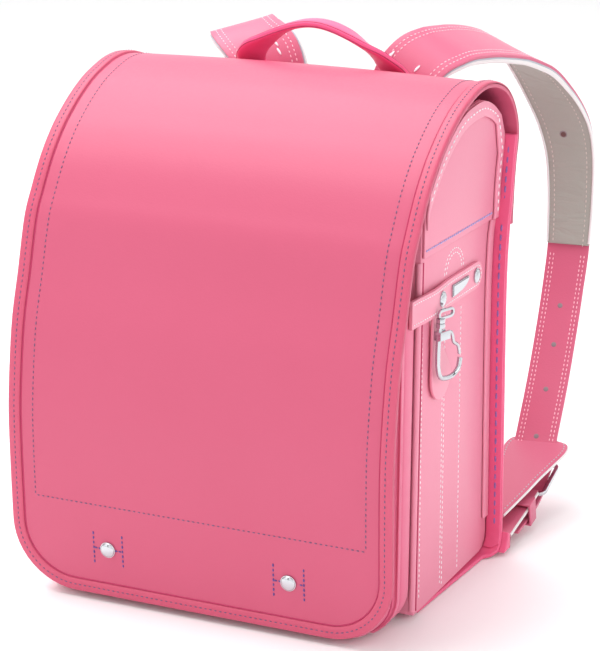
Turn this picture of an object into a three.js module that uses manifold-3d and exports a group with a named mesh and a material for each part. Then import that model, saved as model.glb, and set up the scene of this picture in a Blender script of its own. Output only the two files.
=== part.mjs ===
// School ransel: a stiff leather backpack that stands on its bottom.
// Millimetres, +Z up, front of the bag toward -Y, right side toward +X.
// The origin lies on the ground under the middle of the bag.

import * as THREE from 'three';
import { mergeVertices } from 'three/addons/utils/BufferGeometryUtils.js';
import Module from 'manifold-3d';

const wasm = await Module();
wasm.setup();

// Driving sizes of the body
const CREST = 340; // height of the flap's crest
const REACH = 101.6; // how far the flap stands out to the front
const BACK = 108.5; // how far the flap's back stands out to the back
const HALF_WIDTH = 137; // half of the flap's width
const CROWN = 2.5; // how much the middle of the flap's top is higher than its sides
const FLAP_WALL = 2.6;
const FLAP_FOOT = 4.4; // height of the flap's lower edge
const FLAP_CORNER = 45; // radius of the flap's lower corners
const GAP = 0.3; // clearance between pieces that touch
const RIM_WIDTH = 8.6; // raised border along the flap's edge
const RIM_WALL = 1.3;

// Main compartment, pocket and back
const BOX_HALF = 127;
const BOX_FRONT = 38; // front wall of the main compartment, from the origin
const BOX_WALL = 2;
const BOX_FOOT = 3.4;
const MOUTH = 272; // height of the front wall's upper edge
const SEAM = 243; // height of the lower edge of the upper side panel
const PANEL_WALL = 1.5;
const ARCH_BAND = 11; // width of the trim that follows the upper side panel's edge
const STRIP_WIDTH = 9; // upright strip along the back edge of the side
const STRIP_FOOT = 12;
const POCKET_HALF = 124;
const POCKET_BACK = 41.5; // back of the front pocket, from the origin
const POCKET_TOP = 214;
const POCKET_CORNER = 22; // height of the curve at the pocket's lower corners
const CORNER_TUCK = 0.8; // how far that curve goes in at the sides, a share of its height
const CORNER_LEAN = 0.5; // how far it goes forward, with the folds
const POCKET_WALL = 2;
const POCKET_GAP = 2.4; // clearance between the pocket's front and the flap
const FOLD = -64; // depth of the pocket's sewn edge
const RIDGE = 3; // how far the pocket's sewn edge stands out at its sides
const BULGE = 3; // how far the pocket's folded side swells
const RIDGE_HALF = 2; // half of the sewn edge's thickness
const SWELL_END = 17; // depth behind the sewn edge at which the swell ends
const PLATE_WALL = 3;
const PLATE_HALF = 138;
const PLATE_TOP = 298;
const PLATE_HEEL = 17; // radius of the bend at the bottom of the back
const PLATE_LEVELS = 14; // sections of the plate above its heel
const PLATE_TOE = 125; // how far the plate runs forward under the compartment
const FLANGE_WALL = 1.6; // turned-out edge of the side, sewn on the back plate
const CUSHION_HALF = 92;
const CUSHION_FOOT = 42;
const CUSHION_TOP = 226;
const CUSHION_DEPTH = 11;

// Fittings on the flap and the sides
const RIVET_SPAN = 65.5;
const RIVET_HEIGHT = 38;
const RIVET_RADIUS = 5.3;
const RIVET_DOME = 2.2;
const CLASP_WIDTH = 52;
const CLASP_HEIGHT = 16;
const BELT_HEIGHT = 211; // middle of the side belt
const BELT_WIDTH = 18;
const BELT_WALL = 2.2;
const BELT_START = -57;
const BELT_END = 66;
const BELT_SWELL = 1.8;
const STUD_RADIUS = 4.6;
const INSERT_WIDTH = 5;
const TAB_WIDTH = 34;
const TAB_MIDDLE = -6;
const TAB_FOOT = 143;
const TAB_STANDOFF = 1.3; // clearance between the tab and the side
const TAB_WALL = 2;
const HOOK_TURN = 17; // degrees by which the hook stands off the side
const HOOK_STANDOFF = 3.7; // from the tab's face to the hook's middle
const HOOK_DEPTH = -20; // place of the hook's upright axis
const HOOK_WIDTH = 24;
const HOOK_HEIGHT = 38;
const HOOK_WIRE = 1.7;
const GATE_WIRE = 1.2;
const RING_RADIUS = 3.3;
const RING_WIDTH = 16;
const BARREL_RADIUS = 2.8;
const BARREL_HEIGHT = 3;

// Handle and shoulder straps
const HANDLE_SPAN = 53;
const HANDLE_RISE = 66.3; // how far the handle's middle stands above the bracket
const HANDLE_WIDTH = 17;
const HANDLE_FLARE = 4; // how much wider the handle is at its feet
const HANDLE_WALL = 5.5;
const BRACKET_HALF = 78;
const BRACKET_WALL = 5;
const BRACKET_SHELF = 17; // depth of the bracket's upper side, on which the straps stand
const BRACKET_FOOT = 262;
const BRACKET_TOP = 300;
const STRAP_REACH = 188; // how far the strap's loop stands out behind the back
const STRAP_SPREAD = 117; // distance of the strap's middle line from the bag's middle plane
const STRAP_RISE = 347; // height of the strap's top
const STRAP_WIDTH = 45;
const STRAP_WALL = 2.4;
const LINING_WALL = 3.6;
const LOWER_MIDDLE = 125;
const LOWER_WIDTH = 31;
const LOWER_WALL = 2.6;
const GUARD_WIDTH = 48;
const GUARD_WALL = 3;
const BUCKLE_WIDTH = 39;
const BUCKLE_LENGTH = 38;
const BUCKLE_WIRE = 3;
const BUCKLE_HEIGHT = 29;
const BUCKLE_SLOPE = 0.34; // rise of the buckle's plane per unit of depth
const KEEPER_WIDTH = 12;
const KEEPER_WALL = 1.6;
const KEEPER_SLOPE = 0.22;
const SLOT_LENGTH = 17; // slot in the guard for the strap
const SLOT_MARGIN = 1; // clearance between the strap's edge and the slot's end
const ANCHOR_WIDTH = 34;
const ANCHOR_HEIGHT = 16;
const ANCHOR_DEPTH = 106;

// Side outline of the flap from its lower front edge over the top to its lower back edge:
// depth is a share of REACH at the front and of BACK at the back, rise a share of CREST
const FLAP_ROWS = [
  { depth: -0.945, rise: 0.013 },
  { depth: -0.98, rise: 0.156 },
  { depth: -1.0, rise: 0.324 },
  { depth: -0.99, rise: 0.412 },
  { depth: -0.934, rise: 0.538 },
  { depth: -0.839, rise: 0.638 },
  { depth: -0.747, rise: 0.735 },
  { depth: -0.657, rise: 0.785 },
  { depth: -0.527, rise: 0.844 },
  { depth: -0.384, rise: 0.891 },
  { depth: -0.246, rise: 0.924 },
  { depth: -0.118, rise: 0.949 },
  { depth: 0.023, rise: 0.971 },
  { depth: 0.147, rise: 0.985 },
  { depth: 0.276, rise: 0.996 },
  { depth: 0.38, rise: 1.0 },
  { depth: 0.47, rise: 1.0 },
  { depth: 0.604, rise: 0.994 },
  { depth: 0.76, rise: 0.977 },
  { depth: 0.875, rise: 0.951 },
  { depth: 0.95, rise: 0.922 },
  { depth: 0.992, rise: 0.893 },
  { depth: 1.0, rise: 0.862 },
  { depth: 0.972, rise: 0.823 },
  { depth: 0.949, rise: 0.765 },
  { depth: 0.94, rise: 0.697 },
];

// Upper edge of the compartment's sides: depth is a share of BOX_FRONT at the front and of BACK
// at the back, rise a share of CREST
const ARCH_ROWS = [
  { depth: -0.87, rise: 0.835 },
  { depth: -0.37, rise: 0.891 },
  { depth: 0.037, rise: 0.928 },
  { depth: 0.21, rise: 0.953 },
  { depth: 0.38, rise: 0.963 },
  { depth: 0.55, rise: 0.964 },
  { depth: 0.71, rise: 0.948 },
  { depth: 0.845, rise: 0.922 },
];

// Back face of the back plate below the flap's overlap: depth is a share of BACK, rise of CREST
const PLATE_ROWS = [
  { depth: 0.921, rise: 0.075 },
  { depth: 0.903, rise: 0.2 },
  { depth: 0.882, rise: 0.335 },
  { depth: 0.863, rise: 0.48 },
  { depth: 0.855, rise: 0.6 },
  { depth: 0.874, rise: 0.69 },
];

// Handle from its left foot to its middle: across is a share of HANDLE_SPAN, depth of BACK and
// rise of HANDLE_RISE above BRACKET_TOP; turn takes the band from flat on the back (0) to flat on top (1)
const HANDLE_ROWS = [
  { across: -1.0, depth: 1.036, rise: 0.025, turn: 0 },
  { across: -1.02, depth: 1.026, rise: 0.149, turn: 0 },
  { across: -1.03, depth: 0.985, rise: 0.293, turn: 0 },
  { across: -1.03, depth: 0.9, rise: 0.436, turn: 0.03 },
  { across: -0.99, depth: 0.81, rise: 0.575, turn: 0.15 },
  { across: -0.89, depth: 0.755, rise: 0.685, turn: 0.35 },
  { across: -0.7, depth: 0.735, rise: 0.796, turn: 0.6 },
  { across: -0.47, depth: 0.728, rise: 0.906, turn: 0.85 },
  { across: -0.22, depth: 0.728, rise: 0.978, turn: 1 },
  { across: 0.0, depth: 0.728, rise: 1.0, turn: 1 },
];

// Shoulder strap from its root to the slot in its guard: across is a share of STRAP_SPREAD,
// behind of STRAP_REACH measured from BACK, rise of STRAP_RISE, width of STRAP_WIDTH,
// and yaw and bank are the turn and the tilt of its width
const STRAP_ROWS = [
  { across: 0.4, behind: 0.06, rise: 0.8675, width: 1.0, yaw: 0.0, bank: 0.0 },
  { across: 0.4, behind: 0.06, rise: 0.905, width: 1.0, yaw: 0.0, bank: -0.1 },
  { across: 0.43, behind: 0.055, rise: 0.945, width: 0.97, yaw: 0.0, bank: -0.25 },
  { across: 0.5, behind: 0.1, rise: 0.98, width: 0.95, yaw: 0.05, bank: -0.38 },
  { across: 0.575, behind: 0.19, rise: 0.996, width: 0.93, yaw: 0.1, bank: -0.45 },
  { across: 0.627, behind: 0.315, rise: 0.996, width: 0.92, yaw: 0.13, bank: -0.48 },
  { across: 0.678, behind: 0.46, rise: 0.986, width: 0.92, yaw: 0.15, bank: -0.5 },
  { across: 0.731, behind: 0.625, rise: 0.964, width: 0.91, yaw: 0.18, bank: -0.48 },
  { across: 0.784, behind: 0.774, rise: 0.925, width: 0.9, yaw: 0.19, bank: -0.46 },
  { across: 0.85, behind: 0.89, rise: 0.862, width: 0.88, yaw: 0.18, bank: -0.43 },
  { across: 0.93, behind: 0.965, rise: 0.786, width: 0.86, yaw: 0.15, bank: -0.4 },
  { across: 0.965, behind: 0.992, rise: 0.722, width: 0.8, yaw: 0.14, bank: -0.3 },
  { across: 0.98, behind: 0.997, rise: 0.642, width: 0.75, yaw: 0.13, bank: -0.17 },
  { across: 0.998, behind: 0.955, rise: 0.516, width: 0.7, yaw: 0.13, bank: -0.1 },
  { across: 1.0, behind: 0.902, rise: 0.429, width: 0.69, yaw: 0.13, bank: -0.03 },
  { across: 1.009, behind: 0.827, rise: 0.35, width: 0.69, yaw: 0.12, bank: 0.0 },
  { across: 1.026, behind: 0.7, rise: 0.242, width: 0.69, yaw: 0.1, bank: -0.03 },
  { across: 1.05, behind: 0.515, rise: 0.115, width: 0.69, yaw: 0.05, bank: -0.05 },
];
const LINING_END = 13; // row of the table above at which the lining ends

// Upper part of the left strap, which spreads farther at its root and falls sooner, in the same columns
const LEFT_ROOT_ROWS = [
  { across: 0.4, behind: 0.06, rise: 0.8675, width: 1.0, yaw: 0.0, bank: 0.0 },
  { across: 0.4, behind: 0.06, rise: 0.91, width: 1.0, yaw: 0.0, bank: -0.06 },
  { across: 0.46, behind: 0.065, rise: 0.96, width: 1.03, yaw: -0.18, bank: -0.22 },
  { across: 0.6, behind: 0.1, rise: 0.992, width: 1.0, yaw: -0.3, bank: -0.3 },
  { across: 0.745, behind: 0.19, rise: 1.006, width: 1.02, yaw: -0.34, bank: -0.3 },
  { across: 0.8, behind: 0.28, rise: 0.99, width: 0.98, yaw: -0.2, bank: -0.36 },
  { across: 0.815, behind: 0.38, rise: 0.945, width: 0.95, yaw: -0.05, bank: -0.42 },
  { across: 0.825, behind: 0.5, rise: 0.88, width: 0.93, yaw: 0.08, bank: -0.45 },
  { across: 0.84, behind: 0.64, rise: 0.81, width: 0.9, yaw: 0.15, bank: -0.45 },
  { across: 0.87, behind: 0.77, rise: 0.745, width: 0.88, yaw: 0.18, bank: -0.43 },
  { across: 0.92, behind: 0.875, rise: 0.69, width: 0.86, yaw: 0.15, bank: -0.4 },
  { across: 0.96, behind: 0.94, rise: 0.635, width: 0.8, yaw: 0.14, bank: -0.3 },
  { across: 0.98, behind: 0.965, rise: 0.58, width: 0.75, yaw: 0.13, bank: -0.17 },
];
const LEFT_STRAP_ROWS = LEFT_ROOT_ROWS.concat(STRAP_ROWS.slice(LEFT_ROOT_ROWS.length));

// Rest of the strap, from the slot through the buckle to its free end under the lower strap:
// behind is a share of STRAP_REACH measured from BACK, rise a share of BUCKLE_HEIGHT
const TAIL_ROWS = [
  { behind: 0.475, rise: 1.27 },
  { behind: 0.43, rise: 1.02 },
  { behind: 0.38, rise: 0.74 },
  { behind: 0.306, rise: 0.53 },
  { behind: 0.21, rise: 0.4 },
  { behind: 0.095, rise: 0.3 },
];

// Lower strap from its anchor to the buckle's bar, with the same columns
const LOWER_ROWS = [
  { behind: -0.008, rise: 0.34 },
  { behind: 0.07, rise: 0.45 },
  { behind: 0.16, rise: 0.56 },
  { behind: 0.25, rise: 0.7 },
  { behind: 0.319, rise: 0.82 },
];
const BUCKLE_BEHIND = 0.42; // middle of the buckle, a share of STRAP_REACH
const BUCKLE_RISE = 0.93; // height of the buckle's middle, a share of BUCKLE_HEIGHT
const KEEPER_BEHIND = 0.22; // middle of the keeper, a share of STRAP_REACH

// Guard, the leaf-shaped pad over the buckle: half is a share of GUARD_WIDTH / 2
const GUARD_ROWS = [
  { behind: 0.03, rise: 0.72, half: 0.3 },
  { behind: 0.1, rise: 0.86, half: 0.42 },
  { behind: 0.2, rise: 1.02, half: 0.56 },
  { behind: 0.31, rise: 1.2, half: 0.7 },
  { behind: 0.41, rise: 1.36, half: 0.86 },
  { behind: 0.5, rise: 1.48, half: 0.97 },
  { behind: 0.555, rise: 1.55, half: 0.9 },
  { behind: 0.585, rise: 1.58, half: 0.62 },
];

// Hook outline from its neck to its tip: across is a share of HOOK_WIDTH, drop of HOOK_HEIGHT
const HOOK_ROWS = [
  { across: 0.0, drop: 0.03 },
  { across: -0.03, drop: 0.08 },
  { across: -0.07, drop: 0.25 },
  { across: -0.09, drop: 0.55 },
  { across: -0.06, drop: 0.82 },
  { across: 0.06, drop: 0.96 },
  { across: 0.3, drop: 1.0 },
  { across: 0.6, drop: 0.98 },
  { across: 0.81, drop: 0.88 },
  { across: 0.87, drop: 0.71 },
];
const GATE_ROWS = [
  { across: 0.2, drop: 0.22 },
  { across: 0.42, drop: 0.2 },
  { across: 0.52, drop: 0.28 },
  { across: 0.57, drop: 0.4 },
  { across: 0.76, drop: 0.48 },
  { across: 0.84, drop: 0.64 },
];

// Materials
const leather = new THREE.MeshStandardMaterial({ color: 0xe8708f, roughness: 0.5, metalness: 0 });
const sideLeather = new THREE.MeshStandardMaterial({ color: 0xf2a1b5, roughness: 0.5, metalness: 0 });
const trimLeather = new THREE.MeshStandardMaterial({ color: 0xee7f9f, roughness: 0.5, metalness: 0 });
const backLeather = new THREE.MeshStandardMaterial({ color: 0xea5a88, roughness: 0.55, metalness: 0 });
const lining = new THREE.MeshStandardMaterial({ color: 0xc9bdb3, roughness: 0.7, metalness: 0 });
const nickel = new THREE.MeshStandardMaterial({ color: 0xd5d8d8, roughness: 0.25, metalness: 1 });

const model = new THREE.Group();

// Adds a named piece to the model
function add(name, geometry, material, parent = model) {
  const mesh = new THREE.Mesh(geometry, material);
  mesh.name = name;
  parent.add(mesh);
  return mesh;
}

// Position-only copy of a geometry with its shared vertices merged
function welded(geometry) {
  const copy = geometry.clone();
  copy.deleteAttribute('normal');
  copy.deleteAttribute('uv');
  return mergeVertices(copy, 1e-4);
}

// Turns a closed geometry into a solid that can be joined and cut
function solid(geometry) {
  const merged = welded(geometry);
  const mesh = new wasm.Mesh({
    numProp: 3,
    vertProperties: new Float32Array(merged.attributes.position.array),
    triVerts: new Uint32Array(merged.index.array),
  });
  return new wasm.Manifold(mesh);
}

// Turns a solid back into a geometry
function geometryOf(shape) {
  const mesh = shape.getMesh();
  const geometry = new THREE.BufferGeometry();
  geometry.setAttribute('position', new THREE.BufferAttribute(new Float32Array(mesh.vertProperties), 3));
  geometry.setIndex(new THREE.BufferAttribute(new Uint32Array(mesh.triVerts), 1));
  return geometry;
}

// Mirror image of a geometry across the middle plane of the bag
function mirrored(geometry) {
  const copy = welded(geometry);
  const position = copy.attributes.position;
  for (let i = 0; i < position.count; i += 1) {
    position.setX(i, -position.getX(i));
  }
  const index = copy.index.array.slice();
  for (let i = 0; i < index.length; i += 3) {
    [index[i], index[i + 1]] = [index[i + 1], index[i]];
  }
  copy.setIndex(new THREE.BufferAttribute(index, 1));
  return copy;
}

// Adds a piece on the right side and its mirror image on the left side
function addPair(name, geometry, material) {
  add(`${name}_right`, geometry, material);
  add(`${name}_left`, mirrored(geometry), material);
}

// Geometry of points and triangles, whose faces are turned outward
function body(points, triangles) {
  let volume = 0;
  const corner = (k) => new THREE.Vector3().fromArray(points, triangles[k] * 3);
  for (let k = 0; k < triangles.length; k += 3) {
    volume += corner(k).dot(corner(k + 1).cross(corner(k + 2)));
  }
  const faces = volume < 0 ? triangles.slice().reverse() : triangles;
  const geometry = new THREE.BufferGeometry();
  geometry.setAttribute('position', new THREE.BufferAttribute(new Float32Array(points), 3));
  geometry.setIndex(faces);
  return geometry;
}

// Closed wall between two grids of points
function wall(face, rear) {
  const rows = face.length;
  const columns = face[0].length;
  const points = [];
  const triangles = [];
  for (const grid of [face, rear]) {
    for (const row of grid) {
      for (const p of row) {
        points.push(p.x, p.y, p.z);
      }
    }
  }
  const at = (layer, i, j) => layer * rows * columns + i * columns + j;
  const quad = (a, b, c, d) => triangles.push(a, b, c, a, c, d);
  for (let i = 0; i + 1 < rows; i += 1) {
    for (let j = 0; j + 1 < columns; j += 1) {
      quad(at(0, i, j), at(0, i + 1, j), at(0, i + 1, j + 1), at(0, i, j + 1));
      quad(at(1, i, j), at(1, i, j + 1), at(1, i + 1, j + 1), at(1, i + 1, j));
    }
  }
  for (let i = 0; i + 1 < rows; i += 1) {
    const last = columns - 1;
    quad(at(0, i, 0), at(1, i, 0), at(1, i + 1, 0), at(0, i + 1, 0));
    quad(at(0, i, last), at(0, i + 1, last), at(1, i + 1, last), at(1, i, last));
  }
  for (let j = 0; j + 1 < columns; j += 1) {
    const last = rows - 1;
    quad(at(0, 0, j), at(0, 0, j + 1), at(1, 0, j + 1), at(1, 0, j));
    quad(at(0, last, j), at(1, last, j), at(1, last, j + 1), at(0, last, j + 1));
  }
  return body(points, triangles);
}

// Closed body through flat rings of points that have as many points each, capped at both ends
function loft(rings) {
  const count = rings[0].length;
  const points = rings.flat().flatMap((p) => [p.x, p.y, p.z]);
  const triangles = [];
  for (let i = 0; i + 1 < rings.length; i += 1) {
    for (let j = 0; j < count; j += 1) {
      const k = (j + 1) % count;
      triangles.push(i * count + j, i * count + k, (i + 1) * count + k);
      triangles.push(i * count + j, (i + 1) * count + k, (i + 1) * count + j);
    }
  }
  const flat = rings[0].map((p) => new THREE.Vector2(p.x, p.y));
  const top = (rings.length - 1) * count;
  for (const [a, b, c] of THREE.ShapeUtils.triangulateShape(flat, [])) {
    triangles.push(c, b, a, top + a, top + b, top + c);
  }
  return body(points, triangles);
}

// Plate with an outline in depth (y) and height (z), from x = inner to x = outer
function sidePlate(outline, inner, outer) {
  const shape = new THREE.Shape(outline.map((p) => new THREE.Vector2(p.x, p.y)));
  const geometry = new THREE.ExtrudeGeometry(shape, { depth: outer - inner, bevelEnabled: false });
  // shape x, y and depth become y, z and x of the bag
  geometry.applyMatrix4(new THREE.Matrix4().set(0, 0, 1, inner, 1, 0, 0, 0, 0, 1, 0, 0, 0, 0, 0, 1));
  return geometry;
}

// Round body of a profile of [radius, height] pairs, its axis turned to a direction at a place
function turned(profile, place, direction, segments = 16) {
  const points = profile.map(([radius, height]) => new THREE.Vector2(radius, height));
  const geometry = new THREE.LatheGeometry(points, segments);
  const turn = new THREE.Quaternion().setFromUnitVectors(new THREE.Vector3(0, 1, 0), direction);
  geometry.applyQuaternion(turn);
  geometry.translate(place.x, place.y, place.z);
  return geometry;
}

// Domed rivet head whose flat face lies at a place
function rivet(radius, dome, place, direction) {
  const profile = [[0, 0], [radius, 0], [radius, dome * 0.3], [radius * 0.75, dome * 0.75], [0, dome]];
  return turned(profile, place, direction);
}

// Value between the rows of a table at a row number with a fraction
function between(rows, key, at) {
  const low = Math.min(Math.floor(at), rows.length - 2);
  return THREE.MathUtils.lerp(rows[low][key], rows[low + 1][key], at - low);
}

// Flap: its outline from the side, and its shape when laid flat

const depthOf = (share, front) => share * (share < 0 ? front : BACK);
const flapLine = new THREE.SplineCurve(
  FLAP_ROWS.map((row) => new THREE.Vector2(depthOf(row.depth, REACH), row.rise * CREST)),
);
const FLAP_LENGTH = flapLine.getLength();

// Half-width of the flap at a distance from its lower edge
function flapHalf(run) {
  if (run < FLAP_CORNER) {
    const rest = FLAP_CORNER - run;
    return HALF_WIDTH - FLAP_CORNER + Math.sqrt(FLAP_CORNER ** 2 - rest ** 2);
  }
  return HALF_WIDTH;
}

// Point on the flap's outer face, moved out by lift: run along the outline, across the width
function flapPoint(run, across, lift) {
  const t = THREE.MathUtils.clamp(run / FLAP_LENGTH, 0, 1);
  const place = flapLine.getPointAt(t);
  const tangent = flapLine.getTangentAt(t);
  const crown = CROWN * Math.max(tangent.x, 0) ** 2 * (1 - (across / HALF_WIDTH) ** 2);
  const out = lift + crown;
  return new THREE.Vector3(across, place.x - tangent.y * out, place.y + tangent.x * out);
}

// Distances from the lower edge at which the flap's rows lie
function flapRuns() {
  const runs = [];
  for (let step = 0; step < 6; step += 1) {
    runs.push(FLAP_CORNER * (1 - Math.cos((step * Math.PI) / 12)));
  }
  const rest = 34;
  for (let step = 0; step <= rest; step += 1) {
    runs.push(FLAP_CORNER + ((FLAP_LENGTH - FLAP_CORNER) * step) / rest);
  }
  return runs;
}

function makeFlap() {
  const columns = 6;
  const grid = (lift) => flapRuns().map((run) => {
    const half = flapHalf(run);
    const row = [];
    for (let j = 0; j <= columns; j += 1) {
      row.push(flapPoint(run, half * (1 - (2 * j) / columns), lift));
    }
    return row;
  });
  return wall(grid(0), grid(-FLAP_WALL));
}

// Raised border that follows the flap's edge from back left, round the lower corners, to back right
function makeRim() {
  const edge = [];
  const corners = 8;
  for (const run of flapRuns().reverse().filter((value) => value >= FLAP_CORNER)) {
    edge.push({ run, across: HALF_WIDTH, inRun: 0, inAcross: -1 });
  }
  for (let step = 1; step <= corners; step += 1) {
    const angle = (step * Math.PI) / 2 / corners;
    const across = HALF_WIDTH - FLAP_CORNER * (1 - Math.cos(angle));
    const run = FLAP_CORNER * (1 - Math.sin(angle));
    edge.push({ run, across, inRun: Math.sin(angle), inAcross: -Math.cos(angle) });
  }
  const mirror = edge.slice().reverse().map((e) => ({ ...e, across: -e.across, inAcross: -e.inAcross }));
  const path = edge.concat(mirror);
  const inset = [0, 0.12, 0.88, 1];
  const height = [0.25, 1, 1, 0.1];
  const grid = (lift) => path.map((e) => inset.map((share, k) => {
    const inward = RIM_WIDTH * share;
    const out = GAP + lift * height[k];
    return flapPoint(e.run + e.inRun * inward, e.across + e.inAcross * inward, out);
  }));
  return wall(grid(RIM_WALL), grid(0));
}

// Depth of the flap's front face at a height
function flapFrontDepth(height) {
  let low = 0;
  let high = 0.5;
  for (let step = 0; step < 40; step += 1) {
    const middle = (low + high) / 2;
    if (flapLine.getPointAt(middle).y < height) {
      low = middle;
    } else {
      high = middle;
    }
  }
  return flapLine.getPointAt(low).x;
}

// Run along the flap's outline at which its back face has a height
function flapBackRun(height) {
  let low = 0.6;
  let high = 1;
  for (let step = 0; step < 40; step += 1) {
    const middle = (low + high) / 2;
    if (flapLine.getPointAt(middle).y > height) {
      low = middle;
    } else {
      high = middle;
    }
  }
  return high * FLAP_LENGTH;
}

// Back plate: its back face in depth and height, from above the heel to the top under the flap
const flapEndHeight = FLAP_ROWS.at(-1).rise * CREST;
const plateLine = new THREE.SplineCurve([
  ...PLATE_ROWS.map((row) => new THREE.Vector2(row.depth * BACK, row.rise * CREST)),
  ...[0.15, 0.4, 0.6, 0.8, 1].map((share) => {
    const height = THREE.MathUtils.lerp(flapEndHeight, PLATE_TOP, share);
    const p = flapPoint(flapBackRun(height), HALF_WIDTH, -FLAP_WALL - 2 * GAP);
    return new THREE.Vector2(p.y, p.z);
  }),
]);

// Depth of the plate's back face at a height
function plateDepth(height) {
  let low = 0;
  let high = 1;
  for (let step = 0; step < 40; step += 1) {
    const middle = (low + high) / 2;
    if (plateLine.getPoint(middle).y < height) {
      low = middle;
    } else {
      high = middle;
    }
  }
  return plateLine.getPoint(low).x;
}

// Heights of the plate's sections above its heel, and the depths of its back face there
const plateHeights = Array.from({ length: PLATE_LEVELS + 1 }, (_, level) => (
  THREE.MathUtils.lerp(PLATE_HEEL, PLATE_TOP, level / PLATE_LEVELS)));
const plateDepths = plateHeights.map(plateDepth);

// Depth of the plate's faceted back face at a height
function plateFacet(height) {
  const last = plateHeights.length - 2;
  const level = Math.min(last, plateHeights.findLastIndex((h) => h <= height));
  const share = (height - plateHeights[level]) / (plateHeights[level + 1] - plateHeights[level]);
  return THREE.MathUtils.lerp(plateDepths[level], plateDepths[level + 1], share);
}

// Plate's face points from the toe, round the heel and up the back, moved inward by a depth
function plateFace(inward) {
  const heelDepth = plateDepth(PLATE_HEEL);
  const points = [new THREE.Vector2(heelDepth - PLATE_TOE, inward)];
  const steps = 5;
  for (let step = 0; step <= steps; step += 1) {
    const angle = (step * Math.PI) / 2 / steps;
    const radius = PLATE_HEEL - inward;
    points.push(new THREE.Vector2(
      heelDepth - PLATE_HEEL + radius * Math.sin(angle),
      PLATE_HEEL - radius * Math.cos(angle),
    ));
  }
  plateHeights.slice(1).forEach((height, level) => {
    points.push(new THREE.Vector2(plateDepths[level + 1] - inward, height));
  });
  return points;
}

function makePlate() {
  const outer = plateFace(0);
  const inner = plateFace(PLATE_WALL);
  const halves = outer.map((p, k) => (k === 0 ? BOX_HALF - 2 : PLATE_HALF));
  halves[1] = BOX_HALF + 3;
  halves[2] = BOX_HALF + 8;
  const grid = (line) => line.map((p, k) => [1, 0, -1].map((side) => (
    new THREE.Vector3(-side * halves[k], p.x, p.y))));
  return wall(grid(outer), grid(inner));
}

// Turned-out edge of the side, which lies on the front of the back plate
function makeFlange() {
  const near = plateFace(PLATE_WALL + GAP).slice(3);
  const far = plateFace(PLATE_WALL + GAP + FLANGE_WALL).slice(3);
  const grid = (line) => line.map((p, k) => {
    const out = k === 0 ? BOX_HALF + 6 : PLATE_HALF - 0.4;
    return [out, BOX_HALF + GAP].map((x) => new THREE.Vector3(x, p.x, p.y));
  });
  return wall(grid(near), grid(far));
}

// Main compartment

// Upper edge of the compartment's sides, moved down by an inset
function archLine(inset) {
  return ARCH_ROWS.map((row) => (
    new THREE.Vector2(depthOf(row.depth, BOX_FRONT), row.rise * CREST - inset)));
}

// Back edge of the sides from a lower to an upper height
function backEdge(from, to, inset) {
  const levels = plateHeights.filter((height) => height > from + 1 && height < to - 1);
  return [from, ...levels, to].map((height) => (
    new THREE.Vector2(plateFacet(height) - PLATE_WALL - FLANGE_WALL - 2 * GAP - inset, height)));
}

const ARCH_TOP = ARCH_ROWS.at(-1).rise * CREST;
const heelIn = PLATE_HEEL - PLATE_WALL - GAP;

// Lower back corner of the compartment, which fills the plate's heel
function heelEdge(inset) {
  const points = [];
  const heelDepth = plateDepth(PLATE_HEEL);
  const radius = heelIn - FLANGE_WALL - GAP - inset;
  for (let step = 0; step <= 3; step += 1) {
    const angle = (step * Math.PI) / 6;
    points.push(new THREE.Vector2(
      heelDepth - PLATE_HEEL + radius * Math.sin(angle),
      Math.max(PLATE_HEEL - radius * Math.cos(angle), BOX_FOOT + inset),
    ));
  }
  return points;
}

function makeBox() {
  const outline = [
    new THREE.Vector2(-BOX_FRONT, BOX_FOOT),
    ...heelEdge(0),
    ...backEdge(PLATE_HEEL + 12, Math.min(ARCH_TOP, PLATE_TOP), 0),
    ...archLine(0).reverse(),
    new THREE.Vector2(-BOX_FRONT, MOUTH),
  ];
  const above = CREST * 1.3;
  const back = backEdge(PLATE_HEEL + 12, PLATE_TOP, BOX_WALL);
  const hollow = [
    new THREE.Vector2(-BOX_FRONT + BOX_WALL, BOX_FOOT + BOX_WALL),
    ...heelEdge(BOX_WALL),
    ...back,
    new THREE.Vector2(back.at(-1).x, above),
    new THREE.Vector2(-BOX_FRONT + BOX_WALL, above),
  ];
  const inside = BOX_HALF - BOX_WALL;
  const outer = solid(sidePlate(outline, -BOX_HALF, BOX_HALF));
  const inner = solid(sidePlate(hollow, -inside, inside));
  return geometryOf(outer.subtract(inner));
}

// Upper side panel, which overlaps the compartment's side above the seam
function makeUpperPanel() {
  const inner = BOX_HALF + GAP;
  const outline = [
    new THREE.Vector2(-BOX_FRONT + 1, SEAM),
    ...backEdge(SEAM, PLATE_TOP, GAP),
    ...archLine(GAP).reverse(),
    new THREE.Vector2(-BOX_FRONT + 1, MOUTH),
  ];
  return sidePlate(outline, inner, inner + PANEL_WALL);
}

// Trim along the panel's arched edge and down its back edge
function makeArchTrim() {
  const inner = BOX_HALF + PANEL_WALL + 2 * GAP;
  const outline = [
    new THREE.Vector2(-BOX_FRONT + 1.5, MOUTH - ARCH_BAND),
    ...archLine(ARCH_BAND).slice(0, -1),
    ...backEdge(SEAM, PLATE_TOP - ARCH_BAND, STRIP_WIDTH).reverse(),
    ...backEdge(SEAM, PLATE_TOP, GAP),
    ...archLine(2 * GAP).reverse(),
    new THREE.Vector2(-BOX_FRONT + 1.5, MOUTH),
  ];
  return sidePlate(outline, inner, inner + PANEL_WALL);
}

// Upright strip along the back edge of the side, below the seam
function makeEdgeStrip() {
  const inner = BOX_HALF + GAP;
  const top = SEAM - GAP;
  const outline = [
    ...backEdge(STRIP_FOOT + PLATE_HEEL, top, STRIP_WIDTH).reverse(),
    ...backEdge(STRIP_FOOT + PLATE_HEEL, top, GAP),
  ];
  return sidePlate(outline, inner, inner + PANEL_WALL);
}

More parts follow.
